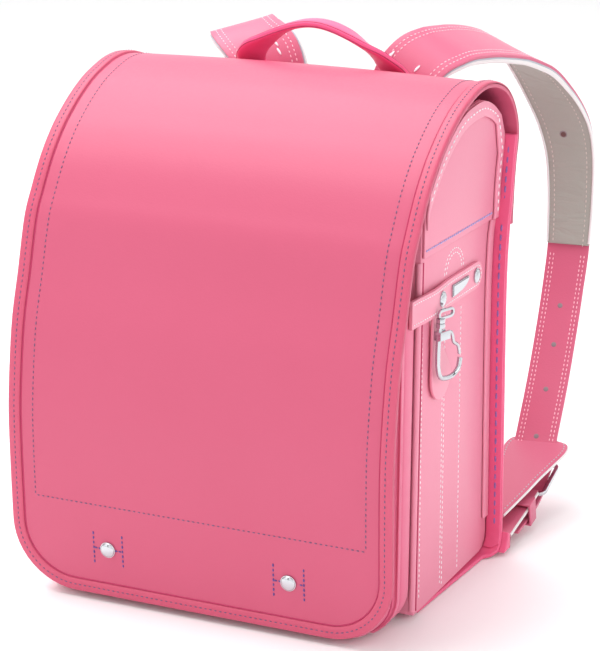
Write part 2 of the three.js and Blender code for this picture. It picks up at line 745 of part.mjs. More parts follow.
// Front pocket with its folded sides: outline from above at a height, moved in by an inset
function pocketRing(height, inset) {
  const corner = Math.max(POCKET_CORNER - height, 0);
  const tuck = POCKET_CORNER - Math.sqrt(Math.max(POCKET_CORNER ** 2 - corner ** 2, 0));
  const half = POCKET_HALF - tuck * CORNER_TUCK - inset;
  const fold = FOLD - tuck * CORNER_LEAN;
  const front = flapFrontDepth(Math.max(height, FLAP_FOOT)) + FLAP_WALL + POCKET_GAP + inset;
  const back = -POCKET_BACK - tuck * CORNER_LEAN - inset;
  const ridgeOut = inset > 0 ? 0 : RIDGE;
  const swell = inset > 0 ? 0 : BULGE;
  const side = [
    new THREE.Vector2(half - 9, front),
    new THREE.Vector2(half - 2, front + 5),
    new THREE.Vector2(half, fold - RIDGE_HALF - 1),
    new THREE.Vector2(half + ridgeOut, fold - RIDGE_HALF),
    new THREE.Vector2(half + ridgeOut, fold + RIDGE_HALF),
    new THREE.Vector2(half - 0.5, fold + RIDGE_HALF + 1),
    new THREE.Vector2(half + swell * 0.7, fold + 0.35 * SWELL_END),
    new THREE.Vector2(half + swell, fold + 0.7 * SWELL_END),
    new THREE.Vector2(half + swell * 0.8, fold + SWELL_END),
    new THREE.Vector2(half - 1.5, back),
  ];
  const other = side.slice().reverse().map((p) => new THREE.Vector2(-p.x, p.y));
  return side.concat(other).map((p) => new THREE.Vector3(p.x, p.y, height));
}

function makePocket() {
  const corner = [0, 0.09, 0.23, 0.45, 0.73, 1].map((share) => share * POCKET_CORNER);
  const heights = corner.concat([0.28, 0.47, 0.65, 0.77, 0.89, 1].map((share) => share * POCKET_TOP));
  const raise = (ring) => ring.map((p) => p.setZ(THREE.MathUtils.lerp(BOX_FOOT, POCKET_TOP, p.z / POCKET_TOP)));
  const outer = solid(loft(heights.map((height) => raise(pocketRing(height, 0)))));
  const levels = heights.slice(1).concat([POCKET_TOP + 20]);
  const inner = solid(loft(levels.map((height) => raise(pocketRing(height, POCKET_WALL)))));
  return geometryOf(outer.subtract(inner));
}

// Plain clasp between the flap's lower edge and the pocket
function makeClasp() {
  const top = RIVET_HEIGHT - CLASP_HEIGHT / 2;
  const grid = (depth) => [0, 1, 2].map((row) => {
    const height = top - (CLASP_HEIGHT * row) / 2;
    const y = flapFrontDepth(height) + FLAP_WALL + depth;
    return [-CLASP_WIDTH / 2, CLASP_WIDTH / 2].map((x) => new THREE.Vector3(x, y, height));
  });
  return wall(grid(1.5 * GAP), grid(POCKET_GAP - 1.5 * GAP));
}

// Plain cushion on the back: a crowned pad whose flat side lies on the plate
function makeCushion() {
  const rows = 8;
  const columns = 8;
  const grid = (swell) => {
    const lines = [];
    for (let i = 0; i <= rows; i += 1) {
      const u = i / rows;
      const height = THREE.MathUtils.lerp(CUSHION_FOOT, CUSHION_TOP, u);
      const line = [];
      for (let j = 0; j <= columns; j += 1) {
        const v = j / columns;
        const bow = Math.min(1, 6 * u * (1 - u)) * Math.min(1, 6 * v * (1 - v));
        const corner = 1 - 0.06 * (2 * u - 1) ** 4;
        const x = CUSHION_HALF * corner * (2 * v - 1);
        const out = 2 * GAP + (swell ? 2 + (CUSHION_DEPTH - 2) * bow : 0);
        line.push(new THREE.Vector3(-x, plateDepth(height) + out, height));
      }
      lines.push(line);
    }
    return lines;
  };
  return wall(grid(true), grid(false));
}

// Side belt

const beltFace = BOX_HALF + GAP;

// How far the belt stands off the side at a depth
function beltLift(depth) {
  const share = (depth - BELT_START) / (BELT_END - BELT_START);
  return BELT_SWELL * Math.sin(Math.PI * THREE.MathUtils.clamp(share * 1.8, 0, 1)) ** 2;
}

const BELT_STEPS = 16;
const beltDepth = (step) => THREE.MathUtils.lerp(BELT_START, BELT_END, step / BELT_STEPS);

// Rows of points along the belt between two steps, at a distance from its inner face
function beltGrid(from, to, out, halfAt) {
  const lines = [];
  for (let step = from; step <= to; step += 1) {
    const depth = beltDepth(step);
    const x = beltFace + beltLift(depth) + out;
    const half = halfAt(depth);
    lines.push([half, 0, -half].map((up) => new THREE.Vector3(x, depth, BELT_HEIGHT + up)));
  }
  return lines;
}

function makeBelt() {
  const half = (depth) => {
    const end = THREE.MathUtils.clamp((BELT_END - depth) / (BELT_WIDTH / 2), 0.12, 1);
    return (BELT_WIDTH / 2) * Math.sqrt(1 - (1 - end) ** 2);
  };
  return wall(beltGrid(0, BELT_STEPS, BELT_WALL, half), beltGrid(0, BELT_STEPS, 0, half));
}

const outward = new THREE.Vector3(1, 0, 0);
const studDepths = { front: -9.8, back: 55 };

function makeStud(depth) {
  const x = beltFace + beltLift(depth) + BELT_WALL + GAP + 0.2;
  return rivet(STUD_RADIUS, 1.6, new THREE.Vector3(x, depth, BELT_HEIGHT), outward);
}

// Bright insert that shows in the belt's slot
function makeInsert() {
  const half = () => INSERT_WIDTH / 2;
  return wall(beltGrid(9, 13, BELT_WALL + GAP + 1, half), beltGrid(9, 13, BELT_WALL + GAP, half));
}

// Rounded leather tab that hangs below the belt
function makeTab() {
  const shape = new THREE.Shape();
  const half = TAB_WIDTH / 2;
  const top = BELT_HEIGHT - BELT_WIDTH / 2 - 0.8;
  shape.moveTo(TAB_MIDDLE - half, top);
  shape.lineTo(TAB_MIDDLE - half, TAB_FOOT + half);
  shape.absarc(TAB_MIDDLE, TAB_FOOT + half, half, Math.PI, 2 * Math.PI, false);
  shape.lineTo(TAB_MIDDLE + half, top);
  const outline = shape.getPoints(6);
  return sidePlate(outline.slice(0, -1), BOX_HALF + TAB_STANDOFF, BOX_HALF + TAB_STANDOFF + TAB_WALL);
}

// Hook below the belt: a ring with a barrel, the hook that turns in it, and its sprung gate

// Bar of a round wire along points in the plane of the hook: across is depth, drop is down
function wire(rows, radius) {
  const points = rows.map((row) => new THREE.Vector3(
    0, row.across * HOOK_WIDTH, -row.drop * HOOK_HEIGHT));
  const curve = new THREE.CatmullRomCurve3(points);
  const steps = rows.length * 2;
  const rings = [];
  for (let step = 0; step <= steps; step += 1) {
    const centre = curve.getPoint(step / steps);
    const tangent = curve.getTangent(step / steps);
    const across = new THREE.Vector3().crossVectors(outward, tangent);
    rings.push(barRing(centre, outward, across, 2 * radius, 2 * radius, 1));
  }
  return bar(rings);
}

const hookX = BOX_HALF + TAB_STANDOFF + TAB_WALL + HOOK_STANDOFF;
const hookTop = BELT_HEIGHT - BELT_WIDTH / 2 - 4;

// Turns a piece made round the hook's upright axis into its place
function placed(geometry) {
  geometry.rotateZ(THREE.MathUtils.degToRad(-HOOK_TURN));
  geometry.translate(hookX, HOOK_DEPTH, hookTop);
  return geometry;
}

// Upright round body between two heights on the hook's axis
function barrel(radius, low, high) {
  const geometry = new THREE.CylinderGeometry(radius, radius, high - low, 16);
  geometry.rotateX(Math.PI / 2);
  geometry.translate(0, 0, (low + high) / 2);
  return geometry;
}

function makeHookRing() {
  const straight = (RING_WIDTH - 2 * RING_RADIUS) / 2;
  const shape = new THREE.Shape();
  const hole = new THREE.Path();
  for (const [line, radius] of [[shape, RING_RADIUS], [hole, RING_RADIUS - HOOK_WIRE]]) {
    line.absarc(straight, 0, radius, -Math.PI / 2, Math.PI / 2, false);
    line.absarc(-straight, 0, radius, Math.PI / 2, 1.5 * Math.PI, false);
  }
  shape.holes.push(hole);
  const ring = new THREE.ExtrudeGeometry(shape, { depth: 1.8, bevelEnabled: false, curveSegments: 6 });
  // the ring's plane holds the hook's axis
  ring.applyMatrix4(new THREE.Matrix4().set(0, 0, 1, -0.9, 1, 0, 0, 0, 0, 1, 0, 0, 0, 0, 0, 1));
  ring.translate(0, RING_WIDTH / 2 - BARREL_RADIUS, BARREL_HEIGHT + RING_RADIUS - 0.8);
  return placed(geometryOf(solid(ring).add(solid(barrel(BARREL_RADIUS, GAP, BARREL_HEIGHT)))));
}

function makeHookBody() {
  const [hinge] = GATE_ROWS;
  const y = hinge.across * HOOK_WIDTH;
  const z = -hinge.drop * HOOK_HEIGHT;
  let shape = solid(wire(HOOK_ROWS, HOOK_WIRE)).add(solid(barrel(BARREL_RADIUS, -3, 0)));
  const cheekWall = 1.1;
  const reach = y + 2 * GATE_WIRE;
  for (const side of [-1, 1]) {
    const cheek = new THREE.BoxGeometry(cheekWall, reach + 3, 5.6);
    cheek.translate(side * (GATE_WIRE + GAP + cheekWall / 2), (reach - 3) / 2, z);
    shape = shape.add(solid(cheek));
  }
  const bridge = new THREE.BoxGeometry(2 * (GATE_WIRE + GAP) + 1, 3, 5.6);
  bridge.translate(0, -1.5, z);
  return placed(geometryOf(shape.add(solid(bridge))));
}

const makeHookGate = () => placed(wire(GATE_ROWS, GATE_WIRE));

// Handle and strap fittings

// Section ring of a flat bar with rounded edges
function barRing(centre, wide, thick, width, depth, round = 0.6) {
  const ring = [];
  const count = 8;
  for (let k = 0; k < count; k += 1) {
    const angle = ((k + 0.5) * 2 * Math.PI) / count;
    const a = Math.sign(Math.cos(angle)) * Math.abs(Math.cos(angle)) ** round * (width / 2);
    const b = Math.sign(Math.sin(angle)) * Math.abs(Math.sin(angle)) ** round * (depth / 2);
    ring.push(centre.clone().addScaledVector(wide, a).addScaledVector(thick, b));
  }
  return ring;
}

// Closed bar through rings of points, capped by fans
function bar(rings) {
  const count = rings[0].length;
  const points = rings.flat().flatMap((p) => [p.x, p.y, p.z]);
  const triangles = [];
  for (let i = 0; i + 1 < rings.length; i += 1) {
    for (let j = 0; j < count; j += 1) {
      const k = (j + 1) % count;
      triangles.push(i * count + j, i * count + k, (i + 1) * count + k);
      triangles.push(i * count + j, (i + 1) * count + k, (i + 1) * count + j);
    }
  }
  const top = (rings.length - 1) * count;
  for (let j = 1; j + 1 < count; j += 1) {
    triangles.push(0, j + 1, j, top, top + j, top + j + 1);
  }
  return body(points, triangles);
}

function makeHandle() {
  const half = HANDLE_ROWS.map((row) => new THREE.Vector3(
    row.across * HANDLE_SPAN, row.depth * BACK, BRACKET_TOP + row.rise * HANDLE_RISE));
  const rest = half.slice(0, -1).reverse().map((p) => new THREE.Vector3(-p.x, p.y, p.z));
  const curve = new THREE.CatmullRomCurve3(half.concat(rest));
  const rings = [];
  const last = HANDLE_ROWS.length - 1;
  const steps = 4 * last;
  for (let step = 0; step <= steps; step += 1) {
    const centre = curve.getPoint(step / steps);
    const tangent = curve.getTangent(step / steps);
    const turn = between(HANDLE_ROWS, 'turn', last - Math.abs((step * 2 * last) / steps - last));
    const sign = Math.sign(centre.x) || 1;
    const wide = new THREE.Vector3(-sign * (1 - turn), turn, 0);
    wide.addScaledVector(tangent, -wide.dot(tangent)).normalize();
    const thick = new THREE.Vector3().crossVectors(tangent, wide);
    const width = HANDLE_WIDTH + HANDLE_FLARE * (1 - turn);
    rings.push(barRing(centre, wide, thick, width, HANDLE_WALL));
  }
  return bar(rings);
}

// Plain bracket on the flap's back that holds the straps and the handle
function makeBracket() {
  const rows = 6;
  const grid = (depthAt) => {
    const lines = [];
    for (let i = 0; i <= rows; i += 1) {
      const share = i / rows;
      const height = THREE.MathUtils.lerp(BRACKET_FOOT, BRACKET_TOP, share);
      const depth = flapPoint(flapBackRun(height), 0, 0).y + depthAt(share);
      lines.push([-1, -0.5, 0, 0.5, 1].map((side) => {
        const x = BRACKET_HALF * side * (0.86 + 0.14 * Math.sin((share * Math.PI) / 2));
        return new THREE.Vector3(x, depth, height);
      }));
    }
    return lines;
  };
  const outer = (share) => THREE.MathUtils.lerp(BRACKET_WALL, BRACKET_SHELF, Math.sin((share * Math.PI) / 2));
  return wall(grid(outer), grid(() => 2 * GAP));
}

// Strap layer along rows of centre, width direction and width, between two distances on its outer side
function strapLayer(rows, low, high) {
  const grid = (lift) => rows.map((row) => [1, 0, -1].map((side) => (
    row.centre.clone()
      .addScaledVector(row.wide, (side * row.width) / 2)
      .addScaledVector(row.outward, lift))));
  return wall(grid(high), grid(low));
}

// Crosswise direction of what lies behind the bag's foot
const crosswise = new THREE.Vector3(1, 0, 0);

const lowerPoint = (behind, rise) => (
  new THREE.Vector3(LOWER_MIDDLE, BACK + behind * STRAP_REACH, rise * BUCKLE_HEIGHT));

// Rows along a shoulder strap from its root to a row of its tables, two for each row
function strapRows(table, end) {
  const points = table.map((row) => new THREE.Vector3(
    row.across * STRAP_SPREAD,
    BACK + row.behind * STRAP_REACH,
    row.rise * STRAP_RISE,
  ));
  for (const row of TAIL_ROWS) {
    points.push(lowerPoint(row.behind, row.rise));
  }
  const curve = new THREE.CatmullRomCurve3(points);
  const last = table.length - 1;
  const rows = [];
  for (let step = 0; step <= 2 * end; step += 1) {
    const at = Math.min(step / 2, last);
    const centre = curve.getPoint(step / 2 / (points.length - 1));
    const tangent = curve.getTangent(step / 2 / (points.length - 1));
    const wide = new THREE.Vector3(1, between(table, 'yaw', at), between(table, 'bank', at));
    wide.addScaledVector(tangent, -wide.dot(tangent)).normalize();
    const outward = new THREE.Vector3().crossVectors(wide, tangent);
    rows.push({ centre, wide, outward, width: between(table, 'width', at) * STRAP_WIDTH });
  }
  return rows;
}

// Rows of a strap behind the bag's foot, through points in a plane across the bag
function lowerRows(points, widthAt, count) {
  const curve = new THREE.CatmullRomCurve3(points);
  const rows = [];
  for (let step = 0; step <= count; step += 1) {
    const t = step / count;
    const tangent = curve.getTangent(t);
    rows.push({
      centre: curve.getPoint(t),
      wide: crosswise,
      outward: new THREE.Vector3().crossVectors(crosswise, tangent),
      width: widthAt(t * (points.length - 1)),
    });
  }
  return rows;
}

function makeLowerStrap() {
  const points = LOWER_ROWS.map((row) => lowerPoint(row.behind, row.rise));
  return strapLayer(lowerRows(points, () => LOWER_WIDTH, 8), -LOWER_WALL / 2, LOWER_WALL / 2);
}

function makeGuard() {
  const points = GUARD_ROWS.map((row) => lowerPoint(row.behind, row.rise));
  const widthAt = (at) => between(GUARD_ROWS, 'half', at) * GUARD_WIDTH;
  const leaf = solid(strapLayer(lowerRows(points, widthAt, 14), -GUARD_WALL / 2, GUARD_WALL / 2));
  const end = strapRows(STRAP_ROWS, STRAP_ROWS.length - 1).at(-1);
  const slot = new THREE.BoxGeometry(end.width + 2 * SLOT_MARGIN, SLOT_LENGTH, BUCKLE_HEIGHT);
  slot.translate(end.centre.x, end.centre.y + SLOT_LENGTH / 5, end.centre.z);
  return geometryOf(leaf.subtract(solid(slot)));
}

// Loop that holds the strap's free end to the lower strap
function makeKeeper() {
  const low = sampled(TAIL_ROWS, KEEPER_BEHIND) * BUCKLE_HEIGHT - STRAP_WALL - GAP;
  const high = sampled(LOWER_ROWS, KEEPER_BEHIND) * BUCKLE_HEIGHT + LOWER_WALL / 2 + GAP;
  const slack = 1.6;
  const half = LOWER_WIDTH / 2 + GAP + slack / 2;
  const ring = (grow) => new THREE.BoxGeometry(
    2 * (half + grow), KEEPER_WIDTH + (grow ? 0 : 2), high - low + slack * 2 + 2 * grow);
  const outer = solid(ring(KEEPER_WALL));
  const geometry = geometryOf(outer.subtract(solid(ring(0))));
  geometry.rotateX(Math.atan(KEEPER_SLOPE));
  geometry.translate(LOWER_MIDDLE, BACK + KEEPER_BEHIND * STRAP_REACH, (low + high) / 2);
  return geometry;
}

// Rise at a place behind the bag, from a table's rows
function sampled(rows, behind) {
  const sorted = rows.slice().sort((a, b) => a.behind - b.behind);
  const upper = sorted.findIndex((row) => row.behind >= behind);
  const [a, b] = [sorted[upper - 1], sorted[upper]];
  return THREE.MathUtils.mapLinear(behind, a.behind, b.behind, a.rise, b.rise);
}

// Leather tab at the bag's lower back corner, from which the lower strap starts
function makeAnchor() {
  const face = plateFace(-2 * GAP).slice(3, 8).filter((p) => p.y < ANCHOR_HEIGHT);
  const outline = [
    ...face,
    new THREE.Vector2(plateDepth(ANCHOR_HEIGHT) + 2 * GAP, ANCHOR_HEIGHT),
    new THREE.Vector2(ANCHOR_DEPTH - 2, ANCHOR_HEIGHT - 2),
    new THREE.Vector2(ANCHOR_DEPTH, ANCHOR_HEIGHT / 2 + 2),
    new THREE.Vector2(ANCHOR_DEPTH, 3),
    new THREE.Vector2(ANCHOR_DEPTH - 2, face[0].y),
  ];
  return sidePlate(outline, LOWER_MIDDLE - ANCHOR_WIDTH / 2, LOWER_MIDDLE + ANCHOR_WIDTH / 2);
}

// Buckle: a frame in the plane of the strap, with its prong
function makeBuckle() {
  const shape = new THREE.Shape();
  const w = BUCKLE_WIDTH / 2;
  const l = BUCKLE_LENGTH / 2;
  const r = 6;
  shape.moveTo(-w + r, -l);
  shape.lineTo(w - r, -l);
  shape.absarc(w - r, -l + r, r, -Math.PI / 2, 0, false);
  shape.lineTo(w, l - r);
  shape.absarc(w - r, l - r, r, 0, Math.PI / 2, false);
  shape.lineTo(-w + r, l);
  shape.absarc(-w + r, l - r, r, Math.PI / 2, Math.PI, false);
  shape.lineTo(-w, -l + r);
  shape.absarc(-w + r, -l + r, r, Math.PI, 1.5 * Math.PI, false);
  const hole = new THREE.Path();
  const iw = w - BUCKLE_WIRE;
  const il = l - BUCKLE_WIRE;
  hole.moveTo(-iw, -il);
  hole.lineTo(-iw, il);
  hole.lineTo(iw, il);
  hole.lineTo(iw, -il);
  hole.closePath();
  shape.holes.push(hole);
  const geometry = new THREE.ExtrudeGeometry(shape, { depth: BUCKLE_WIRE, bevelEnabled: false, curveSegments: 3 });
  geometry.translate(0, 0, -BUCKLE_WIRE / 2);
  geometry.rotateX(Math.atan(BUCKLE_SLOPE));
  const centre = lowerPoint(BUCKLE_BEHIND, BUCKLE_RISE);
  geometry.translate(centre.x, centre.y, centre.z);
  return geometry;
}

add('flap', makeFlap(), leather);
add('flap_rim', makeRim(), leather);
for (const [name, side] of [['right', 1], ['left', -1]]) {
  const depth = flapFrontDepth(RIVET_HEIGHT);
  const slope = flapFrontDepth(RIVET_HEIGHT + 1) - flapFrontDepth(RIVET_HEIGHT - 1);
  const outward = new THREE.Vector3(0, -1, slope / 2).normalize();
  const place = new THREE.Vector3(side * RIVET_SPAN, depth - GAP, RIVET_HEIGHT);
  add(`flap_rivet_${name}`, rivet(RIVET_RADIUS, RIVET_DOME, place, outward), nickel);
}
add('flap_clasp', makeClasp(), nickel);
add('main_box', makeBox(), sideLeather);
add('front_pocket', makePocket(), sideLeather);
add('back_plate', makePlate(), backLeather);
add('back_cushion', makeCushion(), lining);
addPair('side_flange', makeFlange(), backLeather);
addPair('upper_panel', makeUpperPanel(), sideLeather);
addPair('arch_trim', makeArchTrim(), trimLeather);
addPair('edge_strip', makeEdgeStrip(), sideLeather);
addPair('side_belt', makeBelt(), sideLeather);
addPair('belt_stud_front', makeStud(studDepths.front), nickel);
addPair('belt_stud_back', makeStud(studDepths.back), nickel);
addPair('belt_insert', makeInsert(), nickel);
add('hook_tab', makeTab(), sideLeather);
add('hook_ring', makeHookRing(), nickel);
add('hook_body', makeHookBody(), nickel);
add('hook_gate', makeHookGate(), nickel);
add('handle', makeHandle(), backLeather);
add('strap_bracket', makeBracket(), backLeather);
const strapEnd = STRAP_ROWS.length - 1 + TAIL_ROWS.length;
for (const [name, table, place] of [['right', STRAP_ROWS, welded], ['left', LEFT_STRAP_ROWS, mirrored]]) {
  const band = strapLayer(strapRows(table, strapEnd), 0, STRAP_WALL);
  add(`strap_${name}`, place(band), backLeather);
  const inside = strapLayer(strapRows(table, LINING_END), -GAP - LINING_WALL, -GAP);
  add(`strap_lining_${name}`, place(inside), lining);
}
addPair('lower_strap', makeLowerStrap(), backLeather);
addPair('strap_guard', makeGuard(), trimLeather);
addPair('buckle', makeBuckle(), nickel);
addPair('strap_keeper', makeKeeper(), backLeather);
addPair('strap_anchor', makeAnchor(), backLeather);

export default model;
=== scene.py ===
"""School ransel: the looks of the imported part, with its camera, floor and lights."""

import logging
import math
from collections.abc import Callable, Sequence
from dataclasses import dataclass, field
from enum import Enum

import bmesh
import bpy
from mathutils import Matrix, Vector


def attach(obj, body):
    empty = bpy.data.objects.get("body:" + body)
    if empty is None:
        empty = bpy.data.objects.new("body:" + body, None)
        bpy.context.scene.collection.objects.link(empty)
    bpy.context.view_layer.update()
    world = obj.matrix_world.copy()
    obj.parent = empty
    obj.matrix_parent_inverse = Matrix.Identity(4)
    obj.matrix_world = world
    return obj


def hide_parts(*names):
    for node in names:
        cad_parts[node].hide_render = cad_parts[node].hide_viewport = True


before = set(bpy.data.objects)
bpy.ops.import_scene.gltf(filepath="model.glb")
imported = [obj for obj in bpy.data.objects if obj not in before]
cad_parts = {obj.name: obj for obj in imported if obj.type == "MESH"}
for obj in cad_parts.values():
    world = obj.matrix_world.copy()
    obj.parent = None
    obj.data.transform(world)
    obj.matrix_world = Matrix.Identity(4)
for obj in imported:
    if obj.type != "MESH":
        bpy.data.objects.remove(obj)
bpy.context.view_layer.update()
log = logging.getLogger("ransel")

MM = 0.001
BAG = "bag"
Grid = list[list[Vector]]
Stitch = tuple[Vector, Vector, Vector]


# Sizes shared by several pieces, in millimetres


@dataclass(frozen=True)
class Bag:
    """Main sizes of the bag, the same as those of its solids."""

    crest: float = 340.0
    reach: float = 101.6
    back: float = 108.5
    half_width: float = 137.0
    crown: float = 2.5
    flap_wall: float = 2.6
    flap_corner: float = 45.0
    rim_width: float = 8.6
    box_half: float = 127.0
    box_front: float = 38.0
    box_foot: float = 3.4
    mouth: float = 272.0
    seam: float = 243.0
    plate_wall: float = 3.0
    plate_top: float = 298.0
    flange_wall: float = 1.6
    gap: float = 0.3
    belt_height: float = 211.0
    belt_width: float = 18.0
    belt_wall: float = 2.2
    belt_start: float = -57.0
    belt_end: float = 66.0
    belt_swell: float = 1.8
    rivet_span: float = 65.5
    rivet_height: float = 38.0


BAGS = Bag()

# Side outline of the flap: share of reach or back, share of crest
FLAP_ROWS = (
    (-0.945, 0.013), (-0.98, 0.156), (-1.0, 0.324), (-0.99, 0.412), (-0.934, 0.538),
    (-0.839, 0.638), (-0.747, 0.735), (-0.657, 0.785), (-0.527, 0.844), (-0.384, 0.891),
    (-0.246, 0.924), (-0.118, 0.949), (0.023, 0.971), (0.147, 0.985), (0.276, 0.996),
    (0.38, 1.0), (0.47, 1.0), (0.604, 0.994), (0.76, 0.977), (0.875, 0.951),
    (0.95, 0.922), (0.992, 0.893), (1.0, 0.862), (0.972, 0.823), (0.949, 0.765),
    (0.94, 0.697),
)

# Upper edge of the sides: share of box_front or back, share of crest
ARCH_ROWS = (
    (-0.87, 0.835), (-0.37, 0.891), (0.037, 0.928), (0.21, 0.953), (0.38, 0.963),
    (0.55, 0.964), (0.71, 0.948), (0.845, 0.922),
)

# Back face of the back plate: share of back, share of crest
PLATE_ROWS = (
    (0.921, 0.075), (0.903, 0.2), (0.882, 0.335), (0.863, 0.48), (0.855, 0.6), (0.874, 0.69),
)


def hex_colour(code: str) -> tuple[float, float, float, float]:
    """Turns an sRGB hex value into a linear colour.

    Args:
        code: six hex digits with a leading hash sign.

    Returns:
        Linear red, green and blue with full alpha.
    """
    parts = [int(code[i : i + 2], 16) / 255 for i in (1, 3, 5)]
    line = [p / 12.92 if p <= 0.04045 else ((p + 0.055) / 1.055) ** 2.4 for p in parts]
    return (line[0], line[1], line[2], 1.0)


def lerp(a: float, b: float, t: float) -> float:
    """Returns the value between a and b at share t."""
    return a + (b - a) * t


# Curves


@dataclass
class Line:
    """Smooth line through points, measured along its length."""

    points: list[Vector]
    centripetal: bool = False
    fine: int = 24
    dense: list[Vector] = field(default_factory=list)
    runs: list[float] = field(default_factory=list)

    def __post_init__(self) -> None:
        """Samples the line and sums its length."""
        count = (len(self.points) - 1) * self.fine
        self.dense = [self.at(i / count) for i in range(count + 1)]
        self.runs = [0.0]
        for a, b in zip(self.dense, self.dense[1:]):
            self.runs.append(self.runs[-1] + (b - a).length)

    def at(self, t: float) -> Vector:
        """Returns the point at share t of the table.

        Args:
            t: 0 at the first point, 1 at the last.

        Returns:
            The point on the line.
        """
        pts = self.points
        last = len(pts) - 1
        place = min(max(t, 0.0), 1.0) * last
        i = min(int(place), last - 1)
        w = place - i
        p1, p2 = pts[i], pts[i + 1]
        if not self.centripetal:
            p0 = pts[max(i - 1, 0)]
            p3 = pts[min(i + 2, last)]
            m1, m2 = (p2 - p0) * 0.5, (p3 - p1) * 0.5
        else:
            p0 = pts[i - 1] if i > 0 else p1 * 2 - p2
            p3 = pts[i + 2] if i + 2 <= last else p2 * 2 - p1
            d0, d1, d2 = (math.sqrt((b - a).length) or 1e-4 for a, b in ((p0, p1), (p1, p2), (p2, p3)))
            m1 = ((p1 - p0) / d0 - (p2 - p0) / (d0 + d1) + (p2 - p1) / d1) * d1
            m2 = ((p2 - p1) / d1 - (p3 - p1) / (d1 + d2) + (p3 - p2) / d2) * d1
        return (
            p1
            + m1 * w
            + (p1 * -3 + p2 * 3 - m1 * 2 - m2) * w * w
            + (p1 * 2 - p2 * 2 + m1 + m2) * w**3
        )

    @property
    def length(self) -> float:
        """Returns the line's length."""
        return self.runs[-1]

    def run(self, distance: float) -> tuple[Vector, Vector]:
        """Returns point and direction at a distance along the line.

        Args:
            distance: distance from the start.

        Returns:
            The point there and the unit tangent.
        """
        distance = min(max(distance, 0.0), self.length)
        low, high = 0, len(self.runs) - 1
        while high - low > 1:
            mid = (low + high) // 2
            if self.runs[mid] <= distance:
                low = mid
            else:
                high = mid
        span = self.runs[high] - self.runs[low] or 1.0
        share = (distance - self.runs[low]) / span
        before = self.dense[max(low - 2, 0)]
        after = self.dense[min(high + 2, len(self.dense) - 1)]
        return self.dense[low].lerp(self.dense[high], share), (after - before).normalized()


def profile_at(line: Line, rise: float, low: float, high: float) -> float:
    """Finds the run at which a line that only rises between two runs has a height.

    Args:
        line: line in depth and height, stored in y and z.
        rise: height looked for.
        low: run at the lower end.
        high: run at the upper end.

    Returns:
        The run along the line.
    """
    for _ in range(40):
        mid = (low + high) / 2
        if line.run(mid)[0].z < rise:
            low = mid
        else:
            high = mid
    return (low + high) / 2


FLAP_LINE = Line(
    [Vector((0, d * (BAGS.reach if d < 0 else BAGS.back), r * BAGS.crest)) for d, r in FLAP_ROWS]
)


def flap_point(run: float, across: float, lift: float) -> Vector:
    """Point on the flap's outer face.

    Args:
        run: distance from the flap's lower front edge.
        across: distance from the middle.
        lift: distance out of the face.

    Returns:
        The point in millimetres.
    """
    place, tangent = FLAP_LINE.run(run)
    crown = BAGS.crown * max(tangent.y, 0.0) ** 2 * (1 - (across / BAGS.half_width) ** 2)
    out = lift + crown
    return Vector((across, place.y - tangent.z * out, place.z + tangent.y * out))


def flap_half(run: float) -> float:
    """Finds the half-width of the flap.

    Args:
        run: distance from its lower edge.

    Returns:
        The half-width there.
    """
    corner = BAGS.flap_corner
    if run >= corner:
        return BAGS.half_width
    rest = corner - run
    return BAGS.half_width - corner + math.sqrt(max(corner**2 - rest**2, 0.0))


def flap_back_run(height: float) -> float:
    """Finds the run at which the flap's back face has a height.

    Args:
        height: height looked for.

    Returns:
        The distance from the lower front edge.
    """
    low, high = 0.6 * FLAP_LINE.length, FLAP_LINE.length
    for _ in range(40):
        mid = (low + high) / 2
        if FLAP_LINE.run(mid)[0].z > height:
            low = mid
        else:
            high = mid
    return high


def flap_front_depth(height: float) -> float:
    """Depth of the flap's front face at a height."""
    return FLAP_LINE.run(profile_at(FLAP_LINE, height, 0.0, 0.5 * FLAP_LINE.length))[0].y


def plate_points() -> list[Vector]:
    """Lists the points of the back plate's outer line.

    Returns:
        The points, from the heel to its top.
    """
    points = [Vector((0, d * BAGS.back, r * BAGS.crest)) for d, r in PLATE_ROWS]
    foot = FLAP_ROWS[-1][1] * BAGS.crest
    for share in (0.15, 0.4, 0.6, 0.8, 1.0):
        height = lerp(foot, BAGS.plate_top, share)
        points.append(flap_point(flap_back_run(height), BAGS.half_width, -BAGS.flap_wall - 2 * BAGS.gap))
    for point in points:
        point.x = 0
    return points


PLATE_LINE = Line(plate_points())


def plate_depth(height: float) -> float:
    """Finds the depth of the back plate's outer face.

    Args:
        height: height looked for.

    Returns:
        The depth there.
    """
    first, last = PLATE_LINE.points[0], PLATE_LINE.points[-1]
    if height <= first.z:
        return first.y
    if height >= last.z:
        return last.y
    return PLATE_LINE.run(profile_at(PLATE_LINE, height, 0.0, PLATE_LINE.length))[0].y


# Finishes


class Thread(Enum):
    """Colours of sewing thread."""

    PLUM = "#74446A"
    GRAPE = "#5C3480"
    VIOLET = "#8562A6"
    LILAC = "#9C92CC"
    WHITE = "#F4EFF3"
    PINK = "#F6C6D2"
    SILVER = "#B9B4BC"
    STONE = "#C6BBB4"


def add_node(
    tree: bpy.types.NodeTree, kind: str, settings: dict | None = None, links: dict | None = None
) -> bpy.types.Node:
    """Adds one node with its settings and its incoming links.

    Args:
        tree: node tree that gets the node.
        kind: Blender's name of the node type.
        settings: input names or attributes with their values.
        links: input names with the output socket that feeds each.

    Returns:
        The new node.
    """
    node = tree.nodes.new(kind)
    for name, value in (settings or {}).items():
        if isinstance(name, int) or name in node.inputs:
            node.inputs[name].default_value = value
        else:
            setattr(node, name, value)
    for name, source in (links or {}).items():
        tree.links.new(source, node.inputs[name])
    return node


